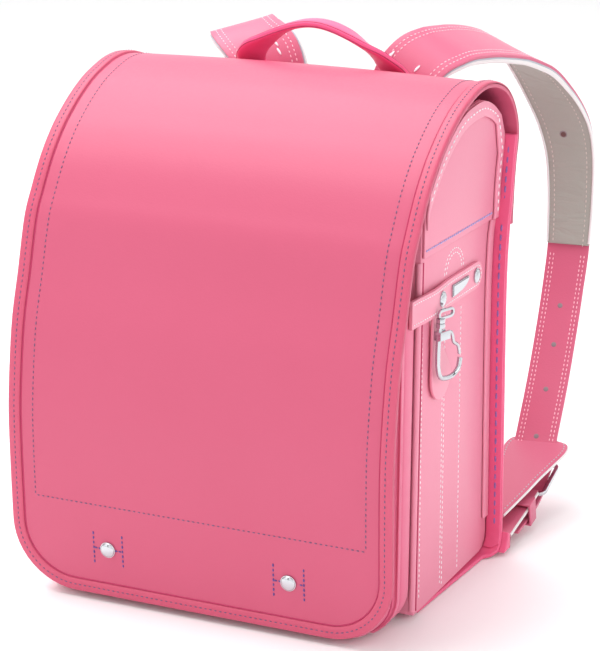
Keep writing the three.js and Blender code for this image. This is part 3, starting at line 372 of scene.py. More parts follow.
def new_material(
    name: str, colour: str
) -> tuple[bpy.types.Material, bpy.types.NodeTree, bpy.types.Node, bpy.types.NodeSocket]:
    """Starts a material with its colour.

    Args:
        name: material name.
        colour: its colour as an sRGB hex value.

    Returns:
        The material, its node tree, its shader and the piece's own coordinates.
    """
    mat = bpy.data.materials.new(name)
    mat.use_nodes = True
    tree = mat.node_tree
    shader = tree.nodes["Principled BSDF"]
    shader.inputs["Base Color"].default_value = hex_colour(colour)
    return mat, tree, shader, add_node(tree, "ShaderNodeTexCoord").outputs["Object"]


@dataclass(frozen=True)
class Leather:
    """Coated synthetic leather, embossed with a fine pebble grain and softly glossy."""

    name: str
    colour: str
    shade: str
    grain_mm: float = 1.1
    grain_depth: float = 0.10
    roughness: float = 0.42
    wrinkle: float = 0.0
    coat: float = 0.12

    def make(self) -> bpy.types.Material:
        """Builds the material.

        Returns:
            The new material.
        """
        mat, tree, shader, place = new_material(self.name, self.colour)
        # slow change of colour over some centimetres, as in a large cut of coated leather
        cloud = add_node(tree, "ShaderNodeTexNoise", {"Scale": 14.0, "Detail": 3.0}, {"Vector": place})
        tone = add_node(
            tree,
            "ShaderNodeMix",
            {"data_type": "RGBA", 6: hex_colour(self.colour), 7: hex_colour(self.shade)},
            {0: cloud.outputs["Fac"]},
        )
        tree.links.new(tone.outputs[2], shader.inputs["Base Color"])
        grain = add_node(
            tree,
            "ShaderNodeTexVoronoi",
            {"feature": "SMOOTH_F1", "Scale": 1000.0 / self.grain_mm, "Smoothness": 0.6},
            {"Vector": place},
        )
        fine = add_node(tree, "ShaderNodeTexNoise", {"Scale": 420.0, "Detail": 4.0}, {"Vector": place})
        bumps = [(self.grain_depth, 0.0003, grain.outputs["Distance"]), (0.10, 0.0004, fine.outputs["Fac"])]
        if self.wrinkle > 0:
            # creases across a band that has been bent, some millimetres apart
            turned = add_node(tree, "ShaderNodeMapping", {"Scale": (18.0, 60.0, 60.0)}, {"Vector": place})
            folds = {"Scale": 1.6, "Detail": 3.0, "Distortion": 0.6}
            crease = add_node(tree, "ShaderNodeTexNoise", folds, {"Vector": turned.outputs[0]})
            bumps.append((self.wrinkle, 0.004, crease.outputs["Fac"]))
        below: dict[str, bpy.types.NodeSocket] = {}
        for strength, distance, height in bumps:
            depth = {"Strength": strength, "Distance": distance}
            bump = add_node(tree, "ShaderNodeBump", depth, {"Height": height, **below})
            below = {"Normal": bump.outputs["Normal"]}
        tree.links.new(below["Normal"], shader.inputs["Normal"])
        span = {"To Min": self.roughness - 0.05, "To Max": self.roughness + 0.07}
        gloss = add_node(tree, "ShaderNodeMapRange", span, {"Value": fine.outputs["Fac"]})
        tree.links.new(gloss.outputs["Result"], shader.inputs["Roughness"])
        shader.inputs["Coat Weight"].default_value = self.coat
        shader.inputs["Coat Roughness"].default_value = 0.35
        return mat


@dataclass(frozen=True)
class Chrome:
    """Nickel-chrome plated zinc casting, polished in a drum, so it mirrors softly."""

    name: str
    colour: str = "#D6D8DC"
    roughness: float = 0.14

    def make(self) -> bpy.types.Material:
        """Builds the material.

        Returns:
            The new material.
        """
        mat, tree, shader, place = new_material(self.name, self.colour)
        shader.inputs["Metallic"].default_value = 1.0
        # drum marks about half a millimetre long
        marks = add_node(tree, "ShaderNodeTexNoise", {"Scale": 900.0, "Detail": 2.0}, {"Vector": place})
        span = {"To Min": self.roughness, "To Max": self.roughness + 0.12}
        gloss = add_node(tree, "ShaderNodeMapRange", span, {"Value": marks.outputs["Fac"]})
        tree.links.new(gloss.outputs["Result"], shader.inputs["Roughness"])
        return mat


@dataclass(frozen=True)
class Yarn:
    """Twisted polyester sewing thread: a matt, slightly shiny fibre."""

    name: str
    colour: str

    def make(self) -> bpy.types.Material:
        """Builds the material.

        Returns:
            The new material.
        """
        mat, tree, shader, place = new_material(self.name, self.colour)
        shader.inputs["Roughness"].default_value = 0.55
        shader.inputs["Sheen Weight"].default_value = 0.3
        # plies of the twist, drawn at 0.5 mm because real ones are too fine to show
        twist = add_node(tree, "ShaderNodeTexNoise", {"Scale": 2000.0, "Detail": 1.0}, {"Vector": place})
        depth = {"Strength": 0.4, "Distance": 0.0003}
        bump = add_node(tree, "ShaderNodeBump", depth, {"Height": twist.outputs["Fac"]})
        tree.links.new(bump.outputs["Normal"], shader.inputs["Normal"])
        return mat


@dataclass
class Wardrobe:
    """All finishes of the bag, made once."""

    made: dict[str, bpy.types.Material] = field(default_factory=dict)

    def get(self, finish: "Leather | Chrome | Yarn") -> bpy.types.Material:
        """Returns the material of a finish, and builds it the first time.

        Args:
            finish: finish that is asked for.

        Returns:
            Its material.
        """
        if finish.name not in self.made:
            self.made[finish.name] = finish.make()
        return self.made[finish.name]


WARDROBE = Wardrobe()
FLAP = Leather("flap_coated_leather", "#C65071", "#C34D6D", roughness=0.47)
RIM = Leather("rim_coated_leather", "#C84C6C", "#C54969", roughness=0.46)
# the side, trim and belt finishes are lighter copies of the flap's pink leather for the side-facing pieces:
# painted light, on top of the right-hand lamp
SIDE_LIT = Leather("side_leather_lit_copy", "#E287A0", "#DF839C")
TRIM_LIT = Leather("trim_leather_lit_copy", "#E590A7", "#E28BA3")
FOLD = Leather("fold_coated_leather", "#DD6C8D", "#D96788")
# painted shade: dark cords laid in the grooves of the flap's border, the pocket's folds, the welt and the
# handle, where shade falls
GROOVE_SHADE = Leather("painted_groove_shade", "#B92C5C", "#B02857", grain_depth=0.02, coat=0.0)
EDGE = Leather("binding_coated_leather", "#E65A86", "#E25581")
BAND = Leather("band_coated_leather", "#CE6281", "#CA5D7C", grain_depth=0.14)
BELT_LIT = Leather("belt_leather_lit_copy", "#E890A7", "#E58CA3")
HANDLE = Leather("handle_coated_leather", "#F0568A", "#EC5184", roughness=0.42)
LINING = Leather(
    "lining_pigskin", "#A6A8A0", "#989A91",
    grain_mm=1.6, grain_depth=0.2, roughness=0.62, wrinkle=0.5, coat=0.0,
)
PIPING = Leather("painted_edge", "#E6E3E3", "#DCD8D9", grain_depth=0.03, roughness=0.4)
SILVER_EDGE = Leather("silver_painted_edge", "#B4BAC4", "#A8AEB8", grain_depth=0.03, roughness=0.35)
# painted shade: HOLE_SHADE is a dark dome standing for the inside of the lining's hole; EYELET_RING_AND_SHADE
# is the grey eyelet ring round it and, on the straps, dark domes of painted shade where the prong holes are
HOLE_SHADE = Leather("painted_hole_shade", "#6B4A48", "#5F403E", roughness=0.7, coat=0.0)
EYELET_RING_AND_SHADE = Leather("eyelet_ring_and_hole_shade", "#8F8488", "#857A7E", roughness=0.6, coat=0.0)
METAL = Chrome("chrome_plated_zinc", "#C6C9CE", 0.08)
DARK_METAL = Chrome("chrome_plated_steel", "#B4B6BB", 0.2)


# Meshes


def linked(name: str, data: bpy.types.ID) -> bpy.types.Object:
    """Makes an object and links it to the scene.

    Args:
        name: object name.
        data: its mesh, light or camera.

    Returns:
        The new object.
    """
    obj = bpy.data.objects.new(name, data)
    bpy.context.scene.collection.objects.link(obj)
    return obj


def make_object(
    name: str, verts: Sequence[Vector], faces: Sequence[Sequence[int]],
    finish: "Leather | Chrome", smooth: float = 40.0,
) -> bpy.types.Object:
    """Makes a mesh object from points in millimetres.

    Args:
        name: piece name.
        verts: points in millimetres.
        faces: corner indices of each face.
        finish: finish of the whole piece.
        smooth: angle in degrees above which an edge stays sharp.

    Returns:
        The new object, linked to the scene.
    """
    mesh = bpy.data.meshes.new(name)
    mesh.from_pydata([tuple(v * MM) for v in verts], [], [tuple(f) for f in faces])
    build = bmesh.new()
    build.from_mesh(mesh)
    bmesh.ops.remove_doubles(build, verts=build.verts, dist=1e-6)
    bmesh.ops.recalc_face_normals(build, faces=build.faces)
    build.to_mesh(mesh)
    build.free()
    obj = linked(name, mesh)
    mesh.materials.append(WARDROBE.get(finish))
    smooth_by(obj, smooth)
    return obj


def smooth_by(obj: bpy.types.Object, angle: float) -> None:
    """Shades an object smooth, with sharp edges above an angle in degrees."""
    obj.data.shade_smooth()
    obj.data.set_sharp_from_angle(angle=math.radians(angle))


def add_modifier(obj: bpy.types.Object, kind: str, **settings: object) -> bpy.types.Modifier:
    """Adds a modifier with its settings.

    Args:
        obj: object that gets it.
        kind: Blender's modifier type.
        **settings: attributes of the modifier.

    Returns:
        The modifier.
    """
    mod = obj.modifiers.new(kind.lower(), kind)
    for name, value in settings.items():
        setattr(mod, name, value)
    return mod


def applied(obj: bpy.types.Object) -> None:
    """Bakes an object's modifiers into its mesh.

    Args:
        obj: mesh object.
    """
    graph = bpy.context.evaluated_depsgraph_get()
    result = obj.evaluated_get(graph)
    mesh = bpy.data.meshes.new_from_object(result, preserve_all_data_layers=True, depsgraph=graph)
    obj.modifiers.clear()
    obj.data = mesh


def rounded(obj: bpy.types.Object, bevel: float, angle: float) -> None:
    """Rounds an object's edges.

    Args:
        obj: mesh object.
        bevel: radius of the edges in millimetres.
        angle: angle in degrees above which an edge is rounded.
    """
    limit = math.radians(angle)
    add_modifier(obj, "BEVEL", width=bevel * MM, segments=3, limit_method="ANGLE", angle_limit=limit)
    applied(obj)


def ring_faces(rings: int, count: int) -> list[tuple[int, ...]]:
    """Lists the faces between closed rings of points.

    Args:
        rings: number of rings.
        count: points of each ring.

    Returns:
        Corner indices of each face.
    """
    faces: list[tuple[int, ...]] = []
    for i in range(rings - 1):
        for j in range(count):
            k = (j + 1) % count
            faces.append((i * count + j, i * count + k, (i + 1) * count + k, (i + 1) * count + j))
    return faces


def settle(obj: bpy.types.Object, nodes: Sequence[str] = (), body: str = BAG) -> bpy.types.Object:
    """Puts a finished piece on its body and in place of its solids.

    Args:
        obj: finished piece.
        nodes: solids that it stands for.
        body: body that it rides on.

    Returns:
        The same piece.
    """
    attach(obj, body)
    if nodes:
        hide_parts(*nodes)
    log.info("%s: %d faces", obj.name, len(obj.data.polygons))
    return obj


def shell(name: str, outer: Grid, inner: Grid, finish: Leather, bevel: float) -> bpy.types.Object:
    """Closed sheet between two grids of the same size, with rounded edges.

    Args:
        name: piece name.
        outer: rows of points on the outer face.
        inner: rows of points on the inner face.
        finish: finish of the sheet.
        bevel: radius of the edges in millimetres, or 0.

    Returns:
        The new object.
    """
    rows, cols = len(outer), len(outer[0])
    verts = [p for row in outer for p in row] + [p for row in inner for p in row]
    half = rows * cols

    def at(side: int, i: int, j: int) -> int:
        """Returns the index of a point of one grid."""
        return side * half + i * cols + j

    faces = []
    for i in range(rows - 1):
        for j in range(cols - 1):
            faces.append((at(0, i, j), at(0, i, j + 1), at(0, i + 1, j + 1), at(0, i + 1, j)))
            faces.append((at(1, i, j), at(1, i + 1, j), at(1, i + 1, j + 1), at(1, i, j + 1)))
    edge = [(0, j) for j in range(cols)] + [(i, cols - 1) for i in range(1, rows)]
    edge += [(rows - 1, j) for j in range(cols - 2, -1, -1)] + [(i, 0) for i in range(rows - 2, 0, -1)]
    for a, b in zip(edge, edge[1:] + edge[:1]):
        faces.append((at(0, *a), at(1, *a), at(1, *b), at(0, *b)))
    obj = make_object(name, verts, faces, finish)
    if bevel > 0:
        rounded(obj, bevel, 50)
    smooth_by(obj, 35)
    return obj


def plate(
    name: str, outline: Sequence[tuple[float, float]], near: float, far: float, finish: Leather
) -> bpy.types.Object:
    """Flat piece on a side: an outline in depth and height between two distances across.

    Args:
        name: piece name.
        outline: depth and height of each corner.
        near: inner distance from the middle.
        far: outer distance from the middle.
        finish: finish of the piece.

    Returns:
        The new object.
    """
    verts = [Vector((x, y, z)) for x in (near, far) for y, z in outline]
    count = len(outline)
    faces = [tuple(range(count)), tuple(range(2 * count - 1, count - 1, -1)), *ring_faces(2, count)]
    obj = make_object(name, verts, faces, finish)
    rounded(obj, 0.4, 60)
    smooth_by(obj, 35)
    return obj


def tube(name: str, rings: Sequence[Sequence[Vector]], finish: Leather) -> bpy.types.Object:
    """Closed bar through rings of points.

    Args:
        name: piece name.
        rings: rings with the same number of points.
        finish: finish of the bar.

    Returns:
        The new object.
    """
    count = len(rings[0])
    verts = [p for ring in rings for p in ring]
    faces = ring_faces(len(rings), count)
    top = (len(rings) - 1) * count
    faces += [tuple(range(count)), tuple(top + j for j in range(count - 1, -1, -1))]
    return make_object(name, verts, faces, finish, 50)


def cord(
    name: str, path: Sequence[Vector], radius: float, finish: Leather, around: int = 12
) -> bpy.types.Object:
    """Lays a round cord along a path.

    Args:
        name: piece name.
        path: points of its middle line, in millimetres.
        radius: radius of its section.
        finish: its finish.
        around: points of each section.

    Returns:
        The new object.
    """
    rings = []
    for i, p in enumerate(path):
        tangent = (path[min(i + 1, len(path) - 1)] - path[max(i - 1, 0)]).normalized()
        side = Vector((0, 1, 0)).cross(tangent).normalized()
        out = tangent.cross(side)
        turns = (2 * math.pi * k / around for k in range(around))
        rings.append([p + side * radius * math.cos(a) + out * radius * math.sin(a) for a in turns])
    return tube(name, rings, finish)


def from_node(
    name: str, node: str, finish: "Leather | Chrome", bevel: float, angle: float = 35.0
) -> bpy.types.Object:
    """Copies a solid's mesh, merges it, rounds its edges and dresses it.

    Args:
        name: piece name.
        node: solid that is copied.
        finish: finish of the piece.
        bevel: radius of its edges in millimetres.
        angle: angle in degrees above which an edge counts as an edge.

    Returns:
        The new object.
    """
    build = bmesh.new()
    build.from_mesh(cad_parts[node].data)
    bmesh.ops.remove_doubles(build, verts=build.verts, dist=5e-6)
    bmesh.ops.dissolve_limit(build, angle_limit=math.radians(1.0), verts=build.verts, edges=build.edges)
    bmesh.ops.recalc_face_normals(build, faces=build.faces)
    mesh = bpy.data.meshes.new(name)
    build.to_mesh(mesh)
    build.free()
    obj = linked(name, mesh)
    mesh.materials.append(WARDROBE.get(finish))
    rounded(obj, bevel, angle)
    smooth_by(obj, angle)
    return obj


def dome(
    name: str, centre: Vector, out: Vector, radius: float, rise: float, finish: "Leather | Chrome"
) -> bpy.types.Object:
    """Domed rivet or stud head with a small step at its foot.

    Args:
        name: piece name.
        centre: middle of its foot, in millimetres.
        out: direction in which it stands.
        radius: radius of its foot.
        rise: height of its dome.
        finish: its finish.

    Returns:
        The new object.
    """
    out = out.normalized()
    up = Vector((0, 0, 1)) - out * out.z
    up.normalize()
    side = out.cross(up)
    rows = [(1.0, 0.0), (1.0, 0.28)]
    rows += [(0.92 * math.cos(a), 0.3 + 0.7 * math.sin(a)) for a in (i * math.pi / 16 for i in range(8))]
    count = 40
    verts = []
    for share, height in rows:
        for k in range(count):
            angle = 2 * math.pi * k / count
            spread = side * math.cos(angle) + up * math.sin(angle)
            verts.append(centre + spread * radius * share + out * rise * height)
    verts.append(centre + out * rise)
    faces = [tuple(range(count)), *ring_faces(len(rows), count)]
    last = (len(rows) - 1) * count
    for k in range(count):
        faces.append((last + k, len(verts) - 1, last + (k + 1) % count))
    return make_object(name, verts, faces, finish, 45)


# Sewing


def march(path: Sequence[tuple[Vector, Vector]], pitch: float, start: float = 0.5) -> list[Stitch]:
    """Places stitches at an even pitch along a path.

    Args:
        path: points with their surface normals, in millimetres.
        pitch: distance from stitch to stitch.
        start: share of a pitch before the first stitch.

    Returns:
        Centre, direction and normal of each stitch.
    """
    stitches: list[Stitch] = []
    left = pitch * start
    for (a, na), (b, nb) in zip(path, path[1:]):
        span = (b - a).length
        if span < 1e-6:
            continue
        direction = (b - a) / span
        while left <= span:
            share = left / span
            stitches.append((a.lerp(b, share), direction, na.lerp(nb, share).normalized()))
            left += pitch
        left -= span
    return stitches


def straight(a: Vector, b: Vector, normal: Vector, count: int = 2) -> list[tuple[Vector, Vector]]:
    """Returns a straight path from a to b on a flat face with a normal."""
    return [(a.lerp(b, i / (count - 1)), normal) for i in range(count)]


@dataclass
class Sewing:
    """Rows of stitches, made by one node tree that sets a short thread loop on each point."""

    tree: bpy.types.NodeTree | None = None

    def build_tree(self) -> bpy.types.NodeTree:
        """Builds the node tree with its named sizes.

        Returns:
            The node tree.
        """
        if self.tree is not None:
            return self.tree
        tree = bpy.data.node_groups.new("stitch_rows", "GeometryNodeTree")
        sockets = (
            ("Points", "NodeSocketGeometry"), ("Length", "NodeSocketFloat"), ("Width", "NodeSocketFloat"),
            ("Rise", "NodeSocketFloat"), ("Thread", "NodeSocketMaterial"),
        )
        for name, kind in sockets:
            tree.interface.new_socket(name, in_out="INPUT", socket_type=kind)
        tree.interface.new_socket("Stitches", in_out="OUTPUT", socket_type="NodeSocketGeometry")
        sizes = add_node(tree, "NodeGroupInput").outputs
        loop = add_node(tree, "GeometryNodeMeshUVSphere", {"Segments": 7, "Rings": 5, "Radius": 0.5})
        scale = add_node(
            tree, "ShaderNodeCombineXYZ", {}, {"X": sizes["Length"], "Y": sizes["Width"], "Z": sizes["Rise"]}
        )
        shaped = add_node(
            tree, "GeometryNodeTransform", {}, {"Geometry": loop.outputs["Mesh"], "Scale": scale.outputs[0]}
        )
        along, out = (
            add_node(tree, "GeometryNodeInputNamedAttribute", {"data_type": "FLOAT_VECTOR", "Name": name})
            for name in ("along", "out")
        )
        turn = add_node(
            tree,
            "FunctionNodeAxesToRotation",
            {"primary_axis": "X", "secondary_axis": "Z"},
            {0: along.outputs["Attribute"], 1: out.outputs["Attribute"]},
        )
        vary = add_node(tree, "FunctionNodeRandomValue", {"data_type": "FLOAT", 2: 0.9, 3: 1.06, "Seed": 7})
        rows = add_node(
            tree,
            "GeometryNodeInstanceOnPoints",
            {},
            {
                "Points": sizes["Points"], "Instance": shaped.outputs[0],
                "Rotation": turn.outputs[0], "Scale": vary.outputs[1],
            },
        )
        real = add_node(tree, "GeometryNodeRealizeInstances", {}, {"Geometry": rows.outputs[0]})
        soft = add_node(tree, "GeometryNodeSetShadeSmooth", {}, {0: real.outputs[0]})
        dyed = add_node(
            tree, "GeometryNodeSetMaterial", {}, {"Geometry": soft.outputs[0], "Material": sizes["Thread"]}
        )
        end = add_node(tree, "NodeGroupOutput")
        tree.links.new(dyed.outputs[0], end.inputs[0])
        self.tree = tree
        return tree

    def sew(
        self,
        name: str,
        stitches: Sequence[Stitch],
        thread: Thread,
        length: float = 2.5,
        width: float = 0.85,
        rise: float = 0.7,
    ) -> bpy.types.Object | None:
        """Makes one piece of all stitches of a thread.

        Args:
            name: piece name.
            stitches: centre, direction and normal of each stitch.
            thread: colour of the thread.
            length: length of a stitch in millimetres.
            width: its width.
            rise: its thickness out of the face.

        Returns:
            The finished piece, or None when there is nothing to sew.
        """
        if not stitches:
            return None
        tree = self.build_tree()
        mesh = bpy.data.meshes.new(name)
        mesh.from_pydata([tuple(c * MM) for c, _, _ in stitches], [], [])
        for key, which in (("along", 1), ("out", 2)):
            layer = mesh.attributes.new(key, "FLOAT_VECTOR", "POINT")
            layer.data.foreach_set("vector", [x for s in stitches for x in s[which]])
        obj = linked(name, mesh)
        mod = obj.modifiers.new("rows", "NODES")
        mod.node_group = tree
        finish = Yarn(f"thread_{thread.name.lower()}", thread.value)
        given = {
            "Length": length * MM, "Width": width * MM, "Rise": rise * MM, "Thread": WARDROBE.get(finish),
        }
        for item in tree.interface.items_tree:
            if item.item_type == "SOCKET" and item.in_out == "INPUT" and item.name in given:
                mod[item.identifier] = given[item.name]
        applied(obj)
        return settle(obj)


SEWING = Sewing()


# Flap


@dataclass
class Flap:
    """The long flap with its raised border, its rivets and its stitches."""

    rows: int = 150
    columns: int = 22
    rim_wall: float = 1.3
    stitch_pitch: float = 3.6
    inner_half: float = 119.0
    inner_foot: float = 68.6
    bar_offset: float = 10.7
    bar_half: float = 12.1
    rivet_clear: float = 5.8
    rivet_radius: float = 5.4
    rivet_rise: float = 2.4

    def runs(self, rows: int) -> list[float]:
        """Lists distances from the lower edge, close together at the corners.

        Args:
            rows: steps above the corners.

        Returns:
            The distances.
        """
        corner = BAGS.flap_corner
        start = [corner * (1 - math.cos(i * math.pi / 2 / 10)) for i in range(10)]
        return start + [lerp(corner, FLAP_LINE.length, i / rows) for i in range(rows + 1)]

    def build_sheet(self) -> None:
        """Builds the flap's own sheet."""

        shares = [1 - 2 * j / self.columns for j in range(self.columns + 1)]

        def grid(lift: float) -> Grid:
            """Returns one face of the sheet."""
            runs = self.runs(self.rows)
            return [[flap_point(run, flap_half(run) * s, lift) for s in shares] for run in runs]

        obj = shell("flap_sheet", grid(0.0), grid(-BAGS.flap_wall), FLAP, 0.9)
        settle(obj, ["flap"])

    def edge_path(self, inset: float, rows: int = 120) -> list[tuple[float, float, float, float]]:
        """Line along the flap's edge at an inset, laid flat.

        Args:
            inset: distance from the edge.
            rows: steps along each long side.

        Returns:
            Run, across and the flat inward direction of each point.
        """
        corner, half, length = BAGS.flap_corner, BAGS.half_width, FLAP_LINE.length
        side = [(lerp(length, corner, i / rows), half - inset, 0.0, -1.0) for i in range(rows)]
        for i in range(13):
            c, s = math.cos(i * math.pi / 24), math.sin(i * math.pi / 24)
            side.append((corner - (corner - inset) * s, half - corner + (corner - inset) * c, s, -c))
        low = [(inset, lerp(half - corner, 0.0, i / 14), 1.0, 0.0) for i in range(1, 15)]
        right = side + low
        return right + [(r, -c, ir, -ic) for r, c, ir, ic in reversed(right[:-1])]

    def build_rim(self) -> None:
        """Builds the border, a rolled strip with a groove on its inner side."""
        shares = (0.0, 0.03, 0.1, 0.25, 0.5, 0.75, 0.9, 0.97, 1.0)
        heights = (0.3, 0.62, 0.9, 1.0, 1.0, 0.97, 0.86, 0.55, 0.12)
        path = self.edge_path(0.0)

        def grid(lift: float) -> Grid:
            """Lists the points of one face.

            Args:
                lift: distance out of the flap.

            Returns:
                Rows of points.
            """
            lines = []
            for run, across, in_run, in_across in path:
                line = []
                for share, height in zip(shares, heights):
                    inward = BAGS.rim_width * share
                    out = BAGS.gap + lift * height
                    line.append(flap_point(run + in_run * inward, across + in_across * inward, out))
                lines.append(line)
            return lines

        obj = shell("flap_border", grid(self.rim_wall), grid(0.0), RIM, 0.0)
        settle(obj, ["flap_rim"])

    def surface(self, flat: Sequence[tuple[float, float]], lift: float) -> list[tuple[Vector, Vector]]:
        """Lays a flat path on the flap.

        Args:
            flat: run and across of each point.
            lift: distance out of the face.

        Returns:
            Points with their surface normals.
        """
        path = []
        for run, across in flat:
            point = flap_point(run, across, lift)
            path.append((point, (flap_point(run, across, lift + 1) - point).normalized()))
        return path

    def build_stitches(self) -> None:
        """Sews the border, the inner frame and the bars beside the rivets, and lays a dark cord of painted
        shade in the groove inside the border.
        """
        rim = [(r, c) for r, c, _, _ in self.edge_path(BAGS.rim_width * 0.55)]
        stitches = march(self.surface(rim[3:-3], BAGS.gap + self.rim_wall + 0.05), self.stitch_pitch)
        foot = profile_at(FLAP_LINE, self.inner_foot, 0.0, 0.5 * FLAP_LINE.length)
        top = FLAP_LINE.length - 20
        side = [(lerp(top, foot, i / 120), self.inner_half) for i in range(121)]
        low = [(foot, lerp(self.inner_half, -self.inner_half, i / 24)) for i in range(25)]
        other = [(r, -c) for r, c in reversed(side)]
        for flat in (side, low, other):
            stitches += march(self.surface(flat, 0.1), self.stitch_pitch)
        bars: list[Stitch] = []
        for centre in (-BAGS.rivet_span, BAGS.rivet_span):
            mid = profile_at(FLAP_LINE, BAGS.rivet_height, 0.0, 0.5 * FLAP_LINE.length)
            for off in (-self.bar_offset, self.bar_offset):
                line = [(mid + lerp(self.bar_half, -self.bar_half, i / 4), centre + off) for i in range(5)]
                bars += march(self.surface(line, 0.1), 3.4)
            line = [(mid, centre + lerp(-self.bar_offset, self.bar_offset, i / 4)) for i in range(5)]
            across = march(self.surface(line, 0.1), 3.0)
            bars += [stitch for stitch in across if abs(stitch[0].x - centre) > self.rivet_clear]
        # dark cord in the groove inside the border: painted shade of that groove
        inner = [(r, c) for r, c, _, _ in self.edge_path(BAGS.rim_width + 0.5)]
        line = [p for p, _ in self.surface(inner[2:-2], -0.1)]
        settle(cord("rim_groove_shade", line, 0.55, GROOVE_SHADE, 8))
        SEWING.sew("flap_stitches", stitches, Thread.PLUM, 2.3, 1.0, 0.6)
        SEWING.sew("rivet_stitches", bars, Thread.GRAPE, 2.6, 1.4, 0.8)

    def build_rivets(self) -> None:
        """Sets the two domed rivets."""
        for name, across in (("right", BAGS.rivet_span), ("left", -BAGS.rivet_span)):
            run = profile_at(FLAP_LINE, BAGS.rivet_height, 0.0, 0.5 * FLAP_LINE.length)
            foot = flap_point(run, across, BAGS.gap)
            out = flap_point(run, across, 1.0) - flap_point(run, across, 0.0)
            obj = dome(f"rivet_{name}", foot, out, self.rivet_radius, self.rivet_rise, METAL)
            settle(obj, [f"flap_rivet_{name}"])

    def build(self) -> None:
        """Builds the whole flap."""
        self.build_sheet()
        self.build_rim()
        self.build_stitches()
        self.build_rivets()
        settle(from_node("clasp_block", "flap_clasp", DARK_METAL, 0.6), ["flap_clasp"])


# Compartments, side panels and back


def arch_line(inset: float, steps: int = 48) -> list[tuple[float, float]]:
    """Lists points of the upper edge of the sides.

    Args:
        inset: distance by which it is moved down.
        steps: number of points less one.

    Returns:
        Depth and height of each point, from front to back.
    """
    depths = [d * (BAGS.box_front if d < 0 else BAGS.back) for d, _ in ARCH_ROWS]
    line = Line([Vector((0, y, r * BAGS.crest - inset)) for y, (_, r) in zip(depths, ARCH_ROWS)])
    return [(p.y, p.z) for p in (line.at(i / steps) for i in range(steps + 1))]


def back_edge(low: float, high: float, inset: float, steps: int = 24) -> list[tuple[float, float]]:
    """Lists points of the back edge of the sides.

    Args:
        low: lowest height.
        high: highest height.
        inset: distance by which it is moved forward.
        steps: number of points less one.

    Returns:
        Depth and height of each point, from below.
    """
    wall = BAGS.plate_wall + BAGS.flange_wall + 2 * BAGS.gap + inset
    return [(plate_depth(z) - wall, z) for z in (lerp(low, high, i / steps) for i in range(steps + 1))]


@dataclass
class Sided:
    """A sub-assembly that stands on the right and, mirrored, on the left."""

    side: str

    @property
    def sign(self) -> int:
        """Returns 1 on the right and -1 on the left."""
        return 1 if self.side == "right" else -1


# Upright rows of side stitches: upper and lower end, each as depth and height
UPRIGHTS = (
    ((-33.6, 196.0), (-29.6, 12.0)), ((2.0, 196.0), (7.5, 8.0)), ((5.4, 196.0), (10.9, 8.0)),
    ((34.0, 196.0), (39.5, 8.0)), ((-34.2, 241.0), (-33.8, 223.0)),
)
STAGGERED = 2


